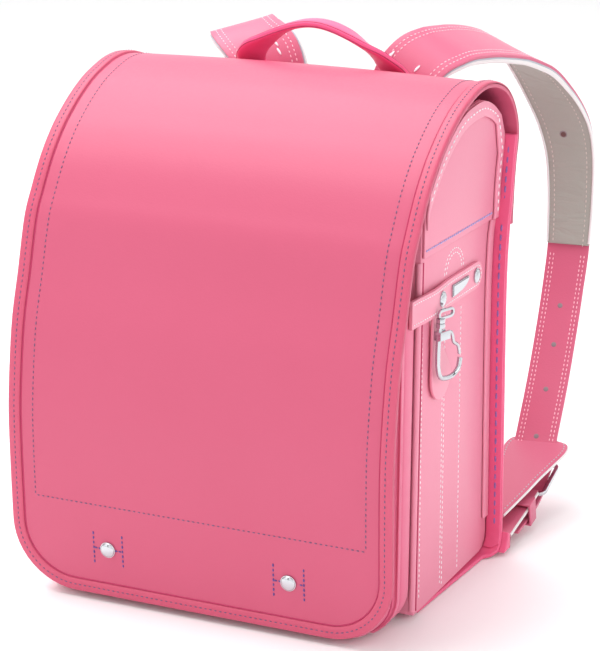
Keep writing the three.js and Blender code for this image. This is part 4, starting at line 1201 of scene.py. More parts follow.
@dataclass
class SidePanel(Sided):
    """One side above and below the seam, with its trims and its stitches."""

    arch_band: float = 11.0
    strip_width: float = 9.0
    strip_foot: float = 29.0
    panel_wall: float = 1.5
    seam_row_height: float = 247.5
    seam_row_ends: tuple[float, float] = (-35.0, 84.0)
    binding_place: float = 133.4
    binding_ends: tuple[float, float] = (22.0, 292.0)
    loop_centre: tuple[float, float] = (19.5, 222.0)
    loop_radii: tuple[float, float] = (17.0, 13.6)

    def at(self, out: float, depth: float, height: float) -> Vector:
        """Returns a point at a distance out of the compartment's side."""
        return Vector((self.sign * (BAGS.box_half + out), depth, height))

    def panel(
        self, name: str, outline: Sequence[tuple[float, float]], near: float, finish: Leather
    ) -> bpy.types.Object:
        """Makes a flat piece of leather at a distance out of the side.

        Args:
            name: piece name.
            outline: depth and height of each corner.
            near: distance of its inner face from the side.
            finish: finish of the piece.

        Returns:
            The new object.
        """
        faces = (near, near + self.panel_wall)
        a, b = sorted(self.sign * (BAGS.box_half + out) for out in faces)
        return plate(name, outline, a, b, finish)

    def build_upper(self) -> None:
        """Builds the arched upper panel and the trim along its edge."""
        gap, front = BAGS.gap, -BAGS.box_front
        arch = arch_line(gap)
        outline = [(front + 1, BAGS.seam), *back_edge(BAGS.seam, BAGS.plate_top, gap), *reversed(arch)]
        outline.append((front + 1, BAGS.mouth))
        obj = self.panel(f"upper_side_{self.side}", outline, gap, SIDE_LIT)
        settle(obj, [f"upper_panel_{self.side}"])
        near = self.panel_wall + 2 * gap
        band = arch_line(self.arch_band)[:-4]
        ring = [(front + 1.5, BAGS.mouth - self.arch_band), *band]
        ring += reversed(back_edge(BAGS.seam, BAGS.plate_top - self.arch_band, self.strip_width))
        ring += back_edge(BAGS.seam, BAGS.plate_top, gap)
        ring += reversed(arch_line(2 * gap))
        ring.append((front + 1.5, BAGS.mouth))
        obj = self.panel(f"arch_band_{self.side}", ring, near, TRIM_LIT)
        settle(obj, [f"arch_trim_{self.side}"])

    def build_strip(self) -> None:
        """Builds the upright strip below the seam."""
        foot, top = self.strip_foot, BAGS.seam - BAGS.gap
        ring = [*reversed(back_edge(foot, top, self.strip_width)), *back_edge(foot, top, BAGS.gap)]
        obj = self.panel(f"back_strip_{self.side}", ring, BAGS.gap, TRIM_LIT)
        settle(obj, [f"edge_strip_{self.side}"])

    def build_flange(self) -> None:
        """Builds the turned-out edge that is sewn on the back plate."""
        obj = from_node(f"back_binding_{self.side}", f"side_flange_{self.side}", EDGE, 0.4)
        settle(obj, [f"side_flange_{self.side}"])

    def build_stitches(self) -> None:
        """Sews the seam, the arch, the upright rows and the binding."""
        out = Vector((self.sign, 0, 0))
        face = BAGS.gap + self.panel_wall + 0.05
        trim = 2 * BAGS.gap + 2 * self.panel_wall + 0.05
        start, end = (self.at(face, y, self.seam_row_height) for y in self.seam_row_ends)
        seam = march(straight(start, end, out), 3.4)
        arch = [(self.at(trim, y, z), out) for y, z in arch_line(self.arch_band * 0.5)[:-3]]
        edge = reversed(back_edge(BAGS.seam + 3, BAGS.plate_top - 8, 4.5))
        down = [(self.at(trim, y, z), out) for y, z in edge]
        bold = march(arch + down, 5.2)
        SEWING.sew(f"arch_stitches_{self.side}", bold, Thread.WHITE, 3.6, 1.15, 0.9)
        low = 0.05
        plain: list[Stitch] = []
        for index, ((y0, z0), (y1, z1)) in enumerate(UPRIGHTS):
            path = straight(self.at(low, y0, z0), self.at(low, y1, z1), out)
            # the second row of the pair is staggered by half a stitch
            plain += march(path, 3.6, 0.0 if index == STAGGERED else 0.5)
        y, z = self.loop_centre
        for radius in self.loop_radii:
            loop = []
            for a in (math.pi * i / 24 for i in range(25)):
                loop.append((self.at(low, y - radius * math.cos(a), z + radius * 0.9 * math.sin(a)), out))
            plain += march(loop, 3.4)
        SEWING.sew(f"side_rows_{self.side}", plain, Thread.WHITE, 2.3, 0.9, 0.7)
        SEWING.sew(f"seam_stitches_{self.side}", seam, Thread.LILAC, 2.7, 1.7, 1.0)
        back = Vector((0, -1, 0))
        wall = BAGS.plate_wall + BAGS.flange_wall + BAGS.gap + 0.05
        path = []
        for i in range(60):
            z = lerp(*self.binding_ends, i / 59)
            path.append((Vector((self.sign * self.binding_place, plate_depth(z) - wall, z)), back))
        SEWING.sew(f"binding_stitches_{self.side}", march(path, 6.6), Thread.VIOLET, 5.2, 1.5, 0.9)

    def build(self) -> None:
        """Builds the whole side."""
        self.build_upper()
        self.build_strip()
        self.build_flange()
        self.build_stitches()


# Dark cords of painted shade between the folded sides: label, depth behind the fold, distance out of the
# side, radius
FOLD_SHADE_LINES = (("front", -4.4, -0.5, 0.9), ("middle", 4.4, -0.6, 0.9), ("rear", 22.6, -0.7, 1.1))


@dataclass
class Compartments:
    """The main compartment, the front pocket with its folds, the back plate and its cushion."""

    pocket_half: float = 124.0
    pocket_back: float = 41.5
    pocket_top: float = 214.0
    pocket_corner: float = 22.0
    pocket_wall: float = 2.0
    pocket_gap: float = 2.4
    fold: float = -64.0
    ridge: float = 3.0
    bulge: float = 3.0
    welt_radius: float = 2.3
    welt_inset: float = 1.9
    welt_heights: tuple[float, ...] = (BAGS.seam - 3, 200, 160, 120, 80, 40, 14, 6)

    def tuck(self, height: float) -> float:
        """Returns how far the pocket's round foot draws in at a height."""
        corner = max(self.pocket_corner - height, 0.0)
        return self.pocket_corner - math.sqrt(max(self.pocket_corner**2 - corner**2, 0.0))

    def pocket_ring(self, height: float) -> list[Vector]:
        """Outline of the pocket from above, with its soft folds.

        Args:
            height: height above its foot.

        Returns:
            Points of the closed ring.
        """
        tuck = self.tuck(height)
        half = self.pocket_half - tuck * 0.8
        front = flap_front_depth(max(height, 4.42)) + BAGS.flap_wall + self.pocket_gap
        back = -self.pocket_back - tuck * 0.5
        out, swell = self.ridge, self.bulge
        fold = self.fold - tuck * 0.5
        side = [
            (half - 9, front), (half - 2, front + 5), (half, fold - 3.4), (half + out * 0.9, fold - 2),
            (half + out, fold), (half + out * 0.9, fold + 2), (half - 0.5, fold + 3.4),
            (half + swell * 0.7, fold + 6), (half + swell, fold + 11.5), (half + swell * 0.8, fold + 17),
            (half - 1.5, back),
        ]
        curve = Line([Vector((x, y, 0)) for x, y in side])
        smooth = [curve.at(i / 60) for i in range(61)]
        lift = lerp(BAGS.box_foot, self.pocket_top, height / self.pocket_top)
        ring = [Vector((min(p.x, self.pocket_half + 3.2), p.y, lift)) for p in smooth]
        return ring + [Vector((-p.x, p.y, p.z)) for p in reversed(ring)]

    def build_pocket(self) -> None:
        """Builds the hollow pocket."""
        heights = [0, 1, 2.5, 5, 8, 12, 17, 22, 40, 60, 80, 100, 120, 140, 165, 190, self.pocket_top]
        rings = [self.pocket_ring(h) for h in heights]
        count = len(rings[0])
        verts = [p for ring in rings for p in ring]
        faces = [*ring_faces(len(rings), count), tuple(range(count))]
        obj = make_object("pocket_shell", verts, faces, FOLD, 50)
        add_modifier(obj, "SOLIDIFY", thickness=self.pocket_wall * MM, offset=-1.0, use_even_offset=False)
        applied(obj)
        smooth_by(obj, 45)
        settle(obj, ["front_pocket"])

    def fold_path(self, depth: float, out: float, sign: int) -> list[Vector]:
        """Follows the pocket's folded side downward and round its lower corner.

        Args:
            depth: depth of the path behind the fold.
            out: distance out of the pocket's side.
            sign: 1 on the right and -1 on the left.

        Returns:
            Points of the path.
        """
        path = []
        for height in (self.pocket_top - 1, 190, 160, 130, 100, 70, 40, 22, 17, 12, 8, 5, 2.5, 1):
            tuck = self.tuck(height)
            lift = lerp(BAGS.box_foot, self.pocket_top, height / self.pocket_top)
            x = self.pocket_half - tuck * 0.8 + out
            path.append(Vector((sign * x, self.fold - tuck * 0.5 + depth, lift)))
        return path

    def build_folds(self) -> None:
        """Rounds the compartment's front edge and lays dark cords of painted shade between the folds."""
        for side, sign in (("right", 1), ("left", -1)):
            for label, depth, out, radius in FOLD_SHADE_LINES:
                obj = cord(f"fold_shade_line_{label}_{side}", self.fold_path(depth, out, sign), radius, GROOVE_SHADE)
                settle(obj)
            edge = BAGS.box_half - self.welt_inset
            path = [Vector((sign * edge, 1.2 - BAGS.box_front, z)) for z in self.welt_heights]
            settle(cord(f"front_welt_{side}", path, self.welt_radius, TRIM_LIT, 20))
            # thin dark cord in the gap between the welt and the side: painted shade of that gap
            path = [p + Vector((sign * 2.05, 2.2, 0)) for p in path]
            settle(cord(f"welt_shade_line_{side}", path, 0.55, GROOVE_SHADE))

    def build_box(self) -> None:
        """Dresses the main compartment and the back plate."""
        settle(from_node("compartment", "main_box", SIDE_LIT, 0.7), ["main_box"])
        settle(from_node("back_board", "back_plate", EDGE, 0.8), ["back_plate"])

    def build_cushion(self) -> None:
        """Builds the quilted back cushion from crowned panels."""
        foot, top, half, depth = 42.0, 226.0, 92.0, 10.6
        rows, cols = 72, 72
        seams_z = (0.34, 0.67)

        def swell(u: float, v: float) -> float:
            """Finds how far the pad swells.

            Args:
                u: share of its height.
                v: share of its width.

            Returns:
                Share of the full crown.
            """
            edge = min(1.0, 9 * u * (1 - u)) ** 0.5 * min(1.0, 9 * v * (1 - v)) ** 0.5
            groove = 1.0
            for seam in seams_z:
                groove = min(groove, abs(u - seam) / 0.045)
            groove = min(groove, abs(v - 0.5) / 0.05)
            return edge * (0.45 + 0.55 * min(1.0, groove) ** 0.5)

        def grid(puffed: bool) -> Grid:
            """Lists the points of one face.

            Args:
                puffed: whether it is the crowned face.

            Returns:
                Rows of points.
            """
            lines = []
            for i in range(rows + 1):
                u = i / rows
                z = lerp(foot, top, u)
                line = []
                for j in range(cols + 1):
                    v = j / cols
                    x = half * (1 - 0.06 * (2 * u - 1) ** 4) * (2 * v - 1)
                    out = 2 * BAGS.gap + (1.2 + (depth - 1.2) * swell(u, v) if puffed else 0.0)
                    line.append(Vector((-x, plate_depth(z) + out, z)))
                lines.append(line)
            return lines

        obj = shell("back_padding", grid(True), grid(False), BAND, 0.0)
        smooth_by(obj, 70)
        settle(obj, ["back_cushion"])

    def build(self) -> None:
        """Builds the compartments and the back."""
        self.build_box()
        self.build_pocket()
        self.build_folds()
        self.build_cushion()


# Belts and hook


def belt_lift(depth: float) -> float:
    """How far the belt stands off the side at a depth."""
    share = (depth - BAGS.belt_start) / (BAGS.belt_end - BAGS.belt_start)
    return BAGS.belt_swell * math.sin(math.pi * min(max(share * 1.8, 0.0), 1.0)) ** 2


@dataclass
class SideBelt(Sided):
    """Belt on one side with its two studs, its bright insert and its stitches."""

    stud_depths: tuple[float, float] = (-9.8, 55.0)
    stud_radius: float = 5.2
    stud_rise: float = 1.9
    insert_ends: tuple[float, float] = (11.0, 38.0)
    insert_top: float = 3.4
    insert_width: float = 6.6

    def at(self, depth: float, out: float, up: float) -> Vector:
        """Returns a point on the belt, out of its inner face."""
        x = BAGS.box_half + BAGS.gap + belt_lift(depth) + out
        return Vector((self.sign * x, depth, BAGS.belt_height + up))

    def half(self, depth: float) -> float:
        """Finds the belt's half-width, which shrinks in its round end.

        Args:
            depth: depth looked for.

        Returns:
            The half-width there.
        """
        radius = BAGS.belt_width / 2
        rest = max(depth - (BAGS.belt_end - radius), 0.0)
        return math.sqrt(max(radius**2 - rest**2, 0.0))

    def build_band(self) -> None:
        """Builds the belt's strip with its round end."""
        steps = 60
        ends = [lerp(BAGS.belt_start, BAGS.belt_end - 9, i / steps) for i in range(steps)]
        ends += [BAGS.belt_end - 9 + 9 * math.sin(i * math.pi / 2 / 12) * 0.998 for i in range(13)]
        shares = [1 - 2 * j / 8 for j in range(9)]

        def grid(out: float) -> Grid:
            """Returns one face of the belt."""
            return [[self.at(d, out, self.half(d) * s) for s in shares] for d in ends]

        obj = shell(f"belt_band_{self.side}", grid(BAGS.belt_wall), grid(0.0), BELT_LIT, 0.6)
        settle(obj, [f"side_belt_{self.side}"])

    def build_fittings(self) -> None:
        """Sets the studs and the bright insert."""
        for name, depth in zip(("front", "back"), self.stud_depths):
            foot = self.at(depth, BAGS.belt_wall + 0.3, 0.0)
            out = Vector((self.sign, 0, 0))
            obj = dome(f"stud_{name}_{self.side}", foot, out, self.stud_radius, self.stud_rise, METAL)
            settle(obj, [f"belt_stud_{name}_{self.side}"])
        low, high = self.insert_ends
        top, deep = self.insert_top, self.insert_width
        edge = [(low, top), (low, top - deep)]
        for i in range(1, 14):
            a = math.pi / 2 * i / 14
            edge.append((lerp(low + 5, high, math.sin(a)), top - deep * math.cos(a)))
        edge.append((high, top))
        edge.reverse()
        for name, grow, rise, finish in (("blade", 0.0, 1.5, METAL), ("frame", 0.7, 1.0, DARK_METAL)):
            middle = Vector(((low + high) / 2, top - deep / 2, 0))
            ring = []
            for d, up in edge:
                away = Vector((d, up, 0)) - middle
                ring.append((d + grow * away.x / 9, up + grow * away.y / 3.3))
            verts = [self.at(d, BAGS.belt_wall + 0.1, up) for d, up in ring]
            verts += [self.at(d, BAGS.belt_wall + rise, up) for d, up in ring]
            count = len(ring)
            faces = [tuple(range(count)), tuple(reversed(range(count, 2 * count))), *ring_faces(2, count)]
            obj = make_object(f"belt_{name}_{self.side}", verts, faces, finish, 30)
            rounded(obj, 0.25, 30)
            settle(obj, [f"belt_insert_{self.side}"] if name == "blade" else [])

    def build_stitches(self) -> None:
        """Sews both edges and the round end of the belt."""
        out = Vector((self.sign, 0, 0))
        inset, face = 2.4, BAGS.belt_wall + 0.05
        radius = BAGS.belt_width / 2 - inset
        bend = BAGS.belt_end - BAGS.belt_width / 2
        depths = [lerp(BAGS.belt_start + 2, bend, i / 40) for i in range(41)]
        path = [(self.at(d, face, radius), out) for d in depths]
        for i in range(1, 12):
            a = math.pi / 2 - math.pi * i / 12
            path.append((self.at(bend + radius * math.cos(a), face, radius * math.sin(a)), out))
        path += [(self.at(d, face, -radius), out) for d in reversed(depths)]
        stitches = march(path, 3.1)
        SEWING.sew(f"belt_stitches_{self.side}", stitches, Thread.WHITE, 2.2, 0.8, 0.7)

    def build(self) -> None:
        """Builds the belt."""
        self.build_band()
        self.build_fittings()
        self.build_stitches()


@dataclass
class Hook:
    """Leather tab with its swivel eye, the hook and its sprung gate."""

    def build(self) -> None:
        """Dresses the tab and the three metal pieces."""
        settle(from_node("tab_leather", "hook_tab", BELT_LIT, 0.6), ["hook_tab"])
        settle(from_node("swivel_eye", "hook_ring", METAL, 0.3, angle=40), ["hook_ring"])
        settle(from_node("snap_hook", "hook_body", METAL, 0.3, angle=50), ["hook_body"], "hook_body")
        settle(from_node("snap_gate", "hook_gate", METAL, 0.2, angle=50), ["hook_gate"], "hook_gate")


# Handle

# Half of the handle's line: shares of span, of the bag's back and of rise, and turn of its width
HANDLE_ROWS = (
    (-1.0, 1.036, 0.025, 0.0), (-1.02, 1.026, 0.149, 0.0), (-1.03, 0.985, 0.293, 0.0),
    (-1.03, 0.9, 0.436, 0.03), (-0.99, 0.81, 0.575, 0.15), (-0.89, 0.755, 0.685, 0.35),
    (-0.7, 0.735, 0.796, 0.6), (-0.47, 0.728, 0.906, 0.85), (-0.22, 0.728, 0.978, 1.0),
    (0.0, 0.728, 1.0, 1.0),
)


def squircle(degrees: float) -> tuple[float, float]:
    """Returns a point on a rounded square of half-size 1 at an angle."""
    c, s = math.cos(math.radians(degrees)), math.sin(math.radians(degrees))
    return math.copysign(abs(c) ** 0.6, c), math.copysign(abs(s) ** 0.6, s)


@dataclass
class CarryHandle:
    """Arched handle: a folded band of coated leather with a seam along its edges."""

    span: float = 53.0
    rise: float = 66.3
    foot: float = 300.0
    width: float = 17.0
    flare: float = 4.0
    wall: float = 5.5
    groove_angles: tuple[float, ...] = (34.0, 146.0, 185.0, 355.0)
    groove_spread: float = 6.5
    groove_depth: float = 0.55
    shade_line_angles: tuple[tuple[str, float], ...] = (("upper", 150.0), ("lower", 192.0))

    def sections(self, steps: int) -> list[tuple[Vector, Vector, Vector, float]]:
        """Sections along the handle.

        Args:
            steps: number of sections less one.

        Returns:
            Centre, width direction, outward direction and width of each.
        """
        half = [
            Vector((a * self.span, d * BAGS.back, self.foot + r * self.rise)) for a, d, r, _ in HANDLE_ROWS
        ]
        rest = [Vector((-p.x, p.y, p.z)) for p in reversed(half[:-1])]
        line = Line(half + rest, centripetal=True)
        last = len(HANDLE_ROWS) - 1
        rows = []
        for step in range(steps + 1):
            t = step / steps
            centre = line.at(t)
            tangent = (line.at(min(t + 0.003, 1)) - line.at(max(t - 0.003, 0))).normalized()
            place = last - abs(t * 2 * last - last)
            low = min(int(place), last - 1)
            turn = lerp(HANDLE_ROWS[low][3], HANDLE_ROWS[low + 1][3], place - low)
            sign = -1 if centre.x < 0 else 1
            wide = Vector((-sign * (1 - turn), turn, 0))
            wide = (wide - tangent * wide.dot(tangent)).normalized()
            rows.append((centre, wide, tangent.cross(wide), self.width + self.flare * (1 - turn)))
        return rows

    def build(self) -> None:
        """Builds the handle with the grooves between its folded layers, and lays dark cords of painted shade
        near two of them.
        """
        around = 64
        rings = []
        for centre, wide, thick, width in self.sections(140):
            ring = []
            for k in range(around):
                angle = (k + 0.5) * 360 / around
                fold = min(abs(angle - groove) for groove in self.groove_angles)
                depth = self.groove_depth * max(1 - fold / self.groove_spread, 0.0)
                a, b = squircle(angle)
                a, b = a * (width / 2 - depth), b * (self.wall / 2 - depth * 0.6)
                ring.append(centre + wide * a + thick * b)
            rings.append(ring)
        obj = tube("carry_handle", rings, HANDLE)
        settle(obj, ["handle"])
        # dark cords of painted shade near two of the grooves
        for label, angle in self.shade_line_angles:
            a, b = squircle(angle)
            path = []
            for centre, wide, thick, width in self.sections(140)[2:-2]:
                path.append(centre + wide * a * (width / 2 - 0.15) + thick * b * (self.wall / 2 - 0.15))
            settle(cord(f"handle_shade_line_{label}", path, 0.42, GROOVE_SHADE, 8))


# Shoulder straps

# Line of a strap: shares of spread, reach, rise and width, then the tilt of its width in depth and height
STRAP_ROWS = (
    (0.4, 0.06, 0.8675, 1.0, 0.0, 0.0), (0.4, 0.06, 0.905, 1.0, 0.0, -0.1),
    (0.43, 0.055, 0.945, 0.97, 0.0, -0.25), (0.5, 0.1, 0.98, 0.95, 0.05, -0.38),
    (0.575, 0.19, 0.996, 0.93, 0.1, -0.45), (0.627, 0.315, 0.996, 0.92, 0.13, -0.48),
    (0.678, 0.46, 0.986, 0.92, 0.15, -0.5), (0.731, 0.625, 0.964, 0.91, 0.18, -0.48),
    (0.784, 0.774, 0.925, 0.9, 0.19, -0.46), (0.85, 0.89, 0.862, 0.88, 0.18, -0.43),
    (0.93, 0.965, 0.786, 0.86, 0.15, -0.4), (0.965, 0.992, 0.722, 0.8, 0.14, -0.3),
    (0.98, 0.997, 0.642, 0.75, 0.13, -0.17), (0.998, 0.955, 0.516, 0.7, 0.13, -0.1),
    (1.0, 0.902, 0.429, 0.69, 0.13, -0.03), (1.009, 0.827, 0.35, 0.69, 0.12, 0.0),
    (1.026, 0.7, 0.242, 0.69, 0.1, -0.03), (1.05, 0.515, 0.115, 0.69, 0.05, -0.05),
)
# Upper part of the left strap, which spreads farther and falls sooner
LEFT_ROWS = (
    (0.4, 0.06, 0.8675, 1.0, 0.0, 0.0), (0.4, 0.06, 0.91, 1.0, 0.0, -0.06),
    (0.46, 0.065, 0.96, 1.03, -0.18, -0.22), (0.6, 0.1, 0.992, 1.0, -0.3, -0.3),
    (0.745, 0.19, 1.006, 1.02, -0.34, -0.3), (0.8, 0.28, 0.99, 0.98, -0.2, -0.36),
    (0.815, 0.38, 0.945, 0.95, -0.05, -0.42), (0.825, 0.5, 0.88, 0.93, 0.08, -0.45),
    (0.84, 0.64, 0.81, 0.9, 0.15, -0.45), (0.87, 0.77, 0.745, 0.88, 0.18, -0.43),
    (0.92, 0.875, 0.69, 0.86, 0.15, -0.4), (0.96, 0.94, 0.635, 0.8, 0.14, -0.3),
    (0.98, 0.965, 0.58, 0.75, 0.13, -0.17), *STRAP_ROWS[13:],
)
# Pieces behind the bag's foot: shares of reach and of the buckle's height, and of the guard's width
TAIL_ROWS = ((0.475, 1.27), (0.43, 1.02), (0.38, 0.74), (0.306, 0.53), (0.21, 0.4), (0.095, 0.3))
LOWER_ROWS = ((-0.008, 0.34), (0.07, 0.45), (0.16, 0.56), (0.25, 0.7), (0.319, 0.82))
GUARD_ROWS = (
    (0.03, 0.72, 0.3), (0.1, 0.86, 0.42), (0.2, 1.02, 0.56), (0.31, 1.2, 0.7),
    (0.41, 1.36, 0.86), (0.5, 1.48, 0.97), (0.555, 1.55, 0.9), (0.585, 1.58, 0.62),
)
Section = tuple[Vector, Vector, Vector, float]


def path_on(rows: Sequence[Section], share: float, lift: float, face: int = 1) -> list[tuple[Vector, Vector]]:
    """Returns a path along a band.

    Args:
        rows: sections of the band.
        share: place across the band, a share of its width.
        lift: distance in the band's outward direction.
        face: 1 when the path faces outward and -1 when it faces inward.

    Returns:
        Points with their surface normals.
    """
    return [(c + w * width * share + n * lift, n * face) for c, w, n, width in rows]


@dataclass
class ShoulderStrap(Sided):
    """One shoulder strap with its lining, painted edges, holes, buckle, guard and lower strap."""

    spread: float = 117.0
    reach: float = 188.0
    rise: float = 347.0
    width: float = 45.0
    wall: float = 2.4
    lining_wall: float = 3.6
    lining_end: int = 13
    seam_end: float = 17.2
    seam_shares: tuple[float, ...] = (-0.41, -0.33, 0.33, 0.41)
    hole_rows: tuple[float, ...] = (14.5, 15.35, 16.1, 16.7)
    hole_radius: float = 1.9
    hole_rise: float = 0.35
    lining_hole_row: float = 10.4
    lining_hole_radii: tuple[float, float] = (3.4, 2.3)
    white_edge: tuple[float, float] = (1.1, 1.9)
    silver_edge: tuple[float, float] = (0.75, 0.7)
    guard_edge: tuple[float, float] = (0.9, 1.1)
    short_edge: tuple[float, float] = (0.9, 1.2)
    lower_middle: float = 125.0
    lower_width: float = 31.0
    guard_width_full: float = 48.0
    guard_wall: float = 3.0
    buckle_height: float = 29.0

    @property
    def table(self) -> tuple[tuple[float, ...], ...]:
        """Returns the rows of this strap."""
        return STRAP_ROWS if self.side == "right" else LEFT_ROWS

    def lower_point(self, behind: float, rise: float) -> Vector:
        """Returns a point behind the bag's foot, from its shares."""
        return Vector((self.lower_middle, BAGS.back + behind * self.reach, rise * self.buckle_height))

    def flip(self, p: Vector) -> Vector:
        """Returns the point or direction on this strap's own side."""
        return Vector((self.sign * p.x, p.y, p.z))

    def sections(self, start: float, end: float, per_row: int = 6) -> list[Section]:
        """Sections along the strap between two rows of its table.

        Args:
            start: first row.
            end: last row.
            per_row: sections for each row.

        Returns:
            Centre, width direction, outward direction and width of each.
        """
        points = [
            Vector((r[0] * self.spread, BAGS.back + r[1] * self.reach, r[2] * self.rise)) for r in self.table
        ]
        points += [self.lower_point(b, r) for b, r in TAIL_ROWS]
        line = Line(points, centripetal=True)
        last = len(self.table) - 1
        total = len(points) - 1
        rows = []
        steps = round((end - start) * per_row)
        for step in range(steps + 1):
            place = start + step / per_row
            t = place / total
            tangent = (line.at(min(t + 0.001, 1)) - line.at(max(t - 0.001, 0))).normalized()
            at = min(place, last)
            low = min(int(at), last - 1)
            mix = [lerp(self.table[low][k], self.table[low + 1][k], at - low) for k in (3, 4, 5)]
            wide = Vector((1, mix[1], mix[2]))
            wide = (wide - tangent * wide.dot(tangent)).normalized()
            outward = wide.cross(tangent)
            rows.append((self.flip(line.at(t)), self.flip(wide), self.flip(outward), mix[0] * self.width))
        return rows

    def band(
        self, name: str, rows: Sequence[Section], low: float, high: float, finish: Leather,
        crown: float = 0.0, bevel: float = 0.7,
    ) -> bpy.types.Object:
        """Band along sections between two distances on its outer side.

        Args:
            name: piece name.
            rows: sections of the band.
            low: inner distance.
            high: outer distance.
            finish: finish of the band.
            crown: how much the inner face swells in its middle.
            bevel: radius of its edges.

        Returns:
            The new object.
        """
        shares = [1 - 2 * j / 12 for j in range(13)]

        def grid(lift: float, swell: float) -> Grid:
            """Lists the points of one face.

            Args:
                lift: distance on the outer side.
                swell: how much it swells in its middle.

            Returns:
                Rows of points.
            """
            return [
                [c + w * width * s / 2 + n * (lift + swell * (1 - s**4)) for s in shares]
                for c, w, n, width in rows
            ]

        return shell(name, grid(high, 0.0), grid(low, -crown), finish, bevel)

    def edging(
        self, name: str, rows: Sequence[Section], share: float, drop: float, half: tuple[float, float],
        finish: Leather,
    ) -> None:
        """Lays a thin rounded line along a band's edge.

        Args:
            name: piece name.
            rows: sections of the band.
            share: place across the band, a share of its width.
            drop: distance of the line's middle behind the band's inner face.
            half: half of the line's width and of its height.
            finish: finish of the line.
        """
        rings = []
        for c, w, n, width in rows:
            middle = c + w * width * share - n * drop
            turns = (k * math.pi / 5 for k in range(10))
            rings.append([middle + w * half[0] * math.cos(a) + n * half[1] * math.sin(a) for a in turns])
        settle(tube(name, rings, finish))

    def build_strap(self) -> None:
        """Builds the coated outer band, its lining and the painted edges."""
        total = len(self.table) + len(TAIL_ROWS) - 1
        obj = self.band(f"strap_band_{self.side}", self.sections(0, total), 0.0, self.wall, BAND)
        settle(obj, [f"strap_{self.side}"])
        low = -BAGS.gap - self.lining_wall + 0.9
        rows = self.sections(0, self.lining_end, 8)
        obj = self.band(f"strap_padding_{self.side}", rows, low, -BAGS.gap, LINING, 0.9, 0.9)
        settle(obj, [f"strap_lining_{self.side}"])
        rows = self.sections(0.3, self.lining_end - 0.05, 6)
        for share, label in ((0.5, "outer"), (-0.5, "inner")):
            self.edging(f"white_edge_{label}_{self.side}", rows, share, 2.4, self.white_edge, PIPING)
            self.edging(f"silver_edge_{label}_{self.side}", rows, share, 0.35, self.silver_edge, SILVER_EDGE)

    def build_stitches(self) -> None:
        """Sews the double rows on the band and the single rows on its lining."""
        white: list[Stitch] = []
        for start, lift, face in ((1.5, self.wall, 1), (self.lining_end + 0.2, 0.0, -1)):
            rows = self.sections(start, self.seam_end, 4)
            for share in self.seam_shares:
                white += march(path_on(rows, share, lift, face), 3.5)
        SEWING.sew(f"strap_stitches_{self.side}", white, Thread.PINK, 2.3, 0.9, 0.8)
        pale: list[Stitch] = []
        for share in (-0.36, 0.36):
            rows = self.sections(7.0, self.lining_end, 4)
            pale += march(path_on(rows, share, -self.lining_wall, -1), 3.7)
        SEWING.sew(f"lining_stitches_{self.side}", pale, Thread.STONE, 2.4, 0.9, 0.8)
        tacks: list[Stitch] = []
        spots = ((2.35, -0.38), (2.5, 0.1)) if self.side == "right" else ((2.2, -0.2), (1.95, -0.18))
        for row, share in spots:
            c, w, n, width = self.sections(row, row + 0.2, 5)[0]
            along = (self.sections(row + 0.2, row + 0.4, 5)[0][0] - c).normalized()
            tacks.append((c + w * width * share + n * (self.wall + 0.2), along, n))
        SEWING.sew(f"strap_tacks_{self.side}", tacks, Thread.WHITE, 7.0, 1.8, 1.4)

    def build_holes(self) -> None:
        """Marks the holes for the buckle's prong and the one in the lining, with dark domes of painted shade.
        """
        for index, row in enumerate(self.hole_rows):
            c, _, n, _ = self.sections(row, row + 0.2, 5)[0]
            for face, foot in (("front", c), ("back", c + n * self.wall)):
                out = -n if face == "front" else n
                name = f"strap_hole_{index}_{face}_{self.side}"
                # dark domes of painted shade where the prong holes are
                settle(dome(name, foot, out, self.hole_radius, self.hole_rise, EYELET_RING_AND_SHADE))
        c, w, n, width = self.sections(self.lining_hole_row, self.lining_hole_row + 0.2, 5)[0]
        foot = c - w * width * 0.05 - n * (BAGS.gap + self.lining_wall - 0.25)
        wide, narrow = self.lining_hole_radii
        # grey eyelet ring, with a dark dome of painted shade for the hole inside it
        settle(dome(f"lining_eyelet_{self.side}", foot, -n, wide, 0.5, EYELET_RING_AND_SHADE))
        settle(dome(f"lining_hole_{self.side}", foot - n * 0.2, -n, narrow, 0.5, HOLE_SHADE))

    def lower_sections(
        self, table: Sequence[tuple[float, ...]], width: Callable[[float], float], steps: int
    ) -> list[Section]:
        """Sections of a piece behind the bag's foot.

        Args:
            table: rows of depth behind the bag and rise.
            width: gives the width at a place in the table.
            steps: number of sections less one.

        Returns:
            Centre, width direction, outward direction and width of each.
        """
        line = Line([self.lower_point(row[0], row[1]) for row in table], centripetal=True)
        cross = Vector((1, 0, 0))
        rows = []
        for step in range(steps + 1):
            t = step / steps
            tangent = (line.at(min(t + 0.01, 1)) - line.at(max(t - 0.01, 0))).normalized()
            place = t * (len(table) - 1)
            outward = cross.cross(tangent)
            rows.append((self.flip(line.at(t)), self.flip(cross), self.flip(outward), width(place)))
        return rows

    def guard_width(self, place: float) -> float:
        """Finds the guard's width, with its round end.

        Args:
            place: place in its table.

        Returns:
            The width there.
        """
        last = len(GUARD_ROWS) - 1
        line = Line([Vector((0, i, row[2])) for i, row in enumerate(GUARD_ROWS)])
        end = max(place - last + 0.75, 0.0) / 0.75
        return self.guard_width_full * line.at(place / last).z * math.sqrt(1 - 0.9 * end**2)

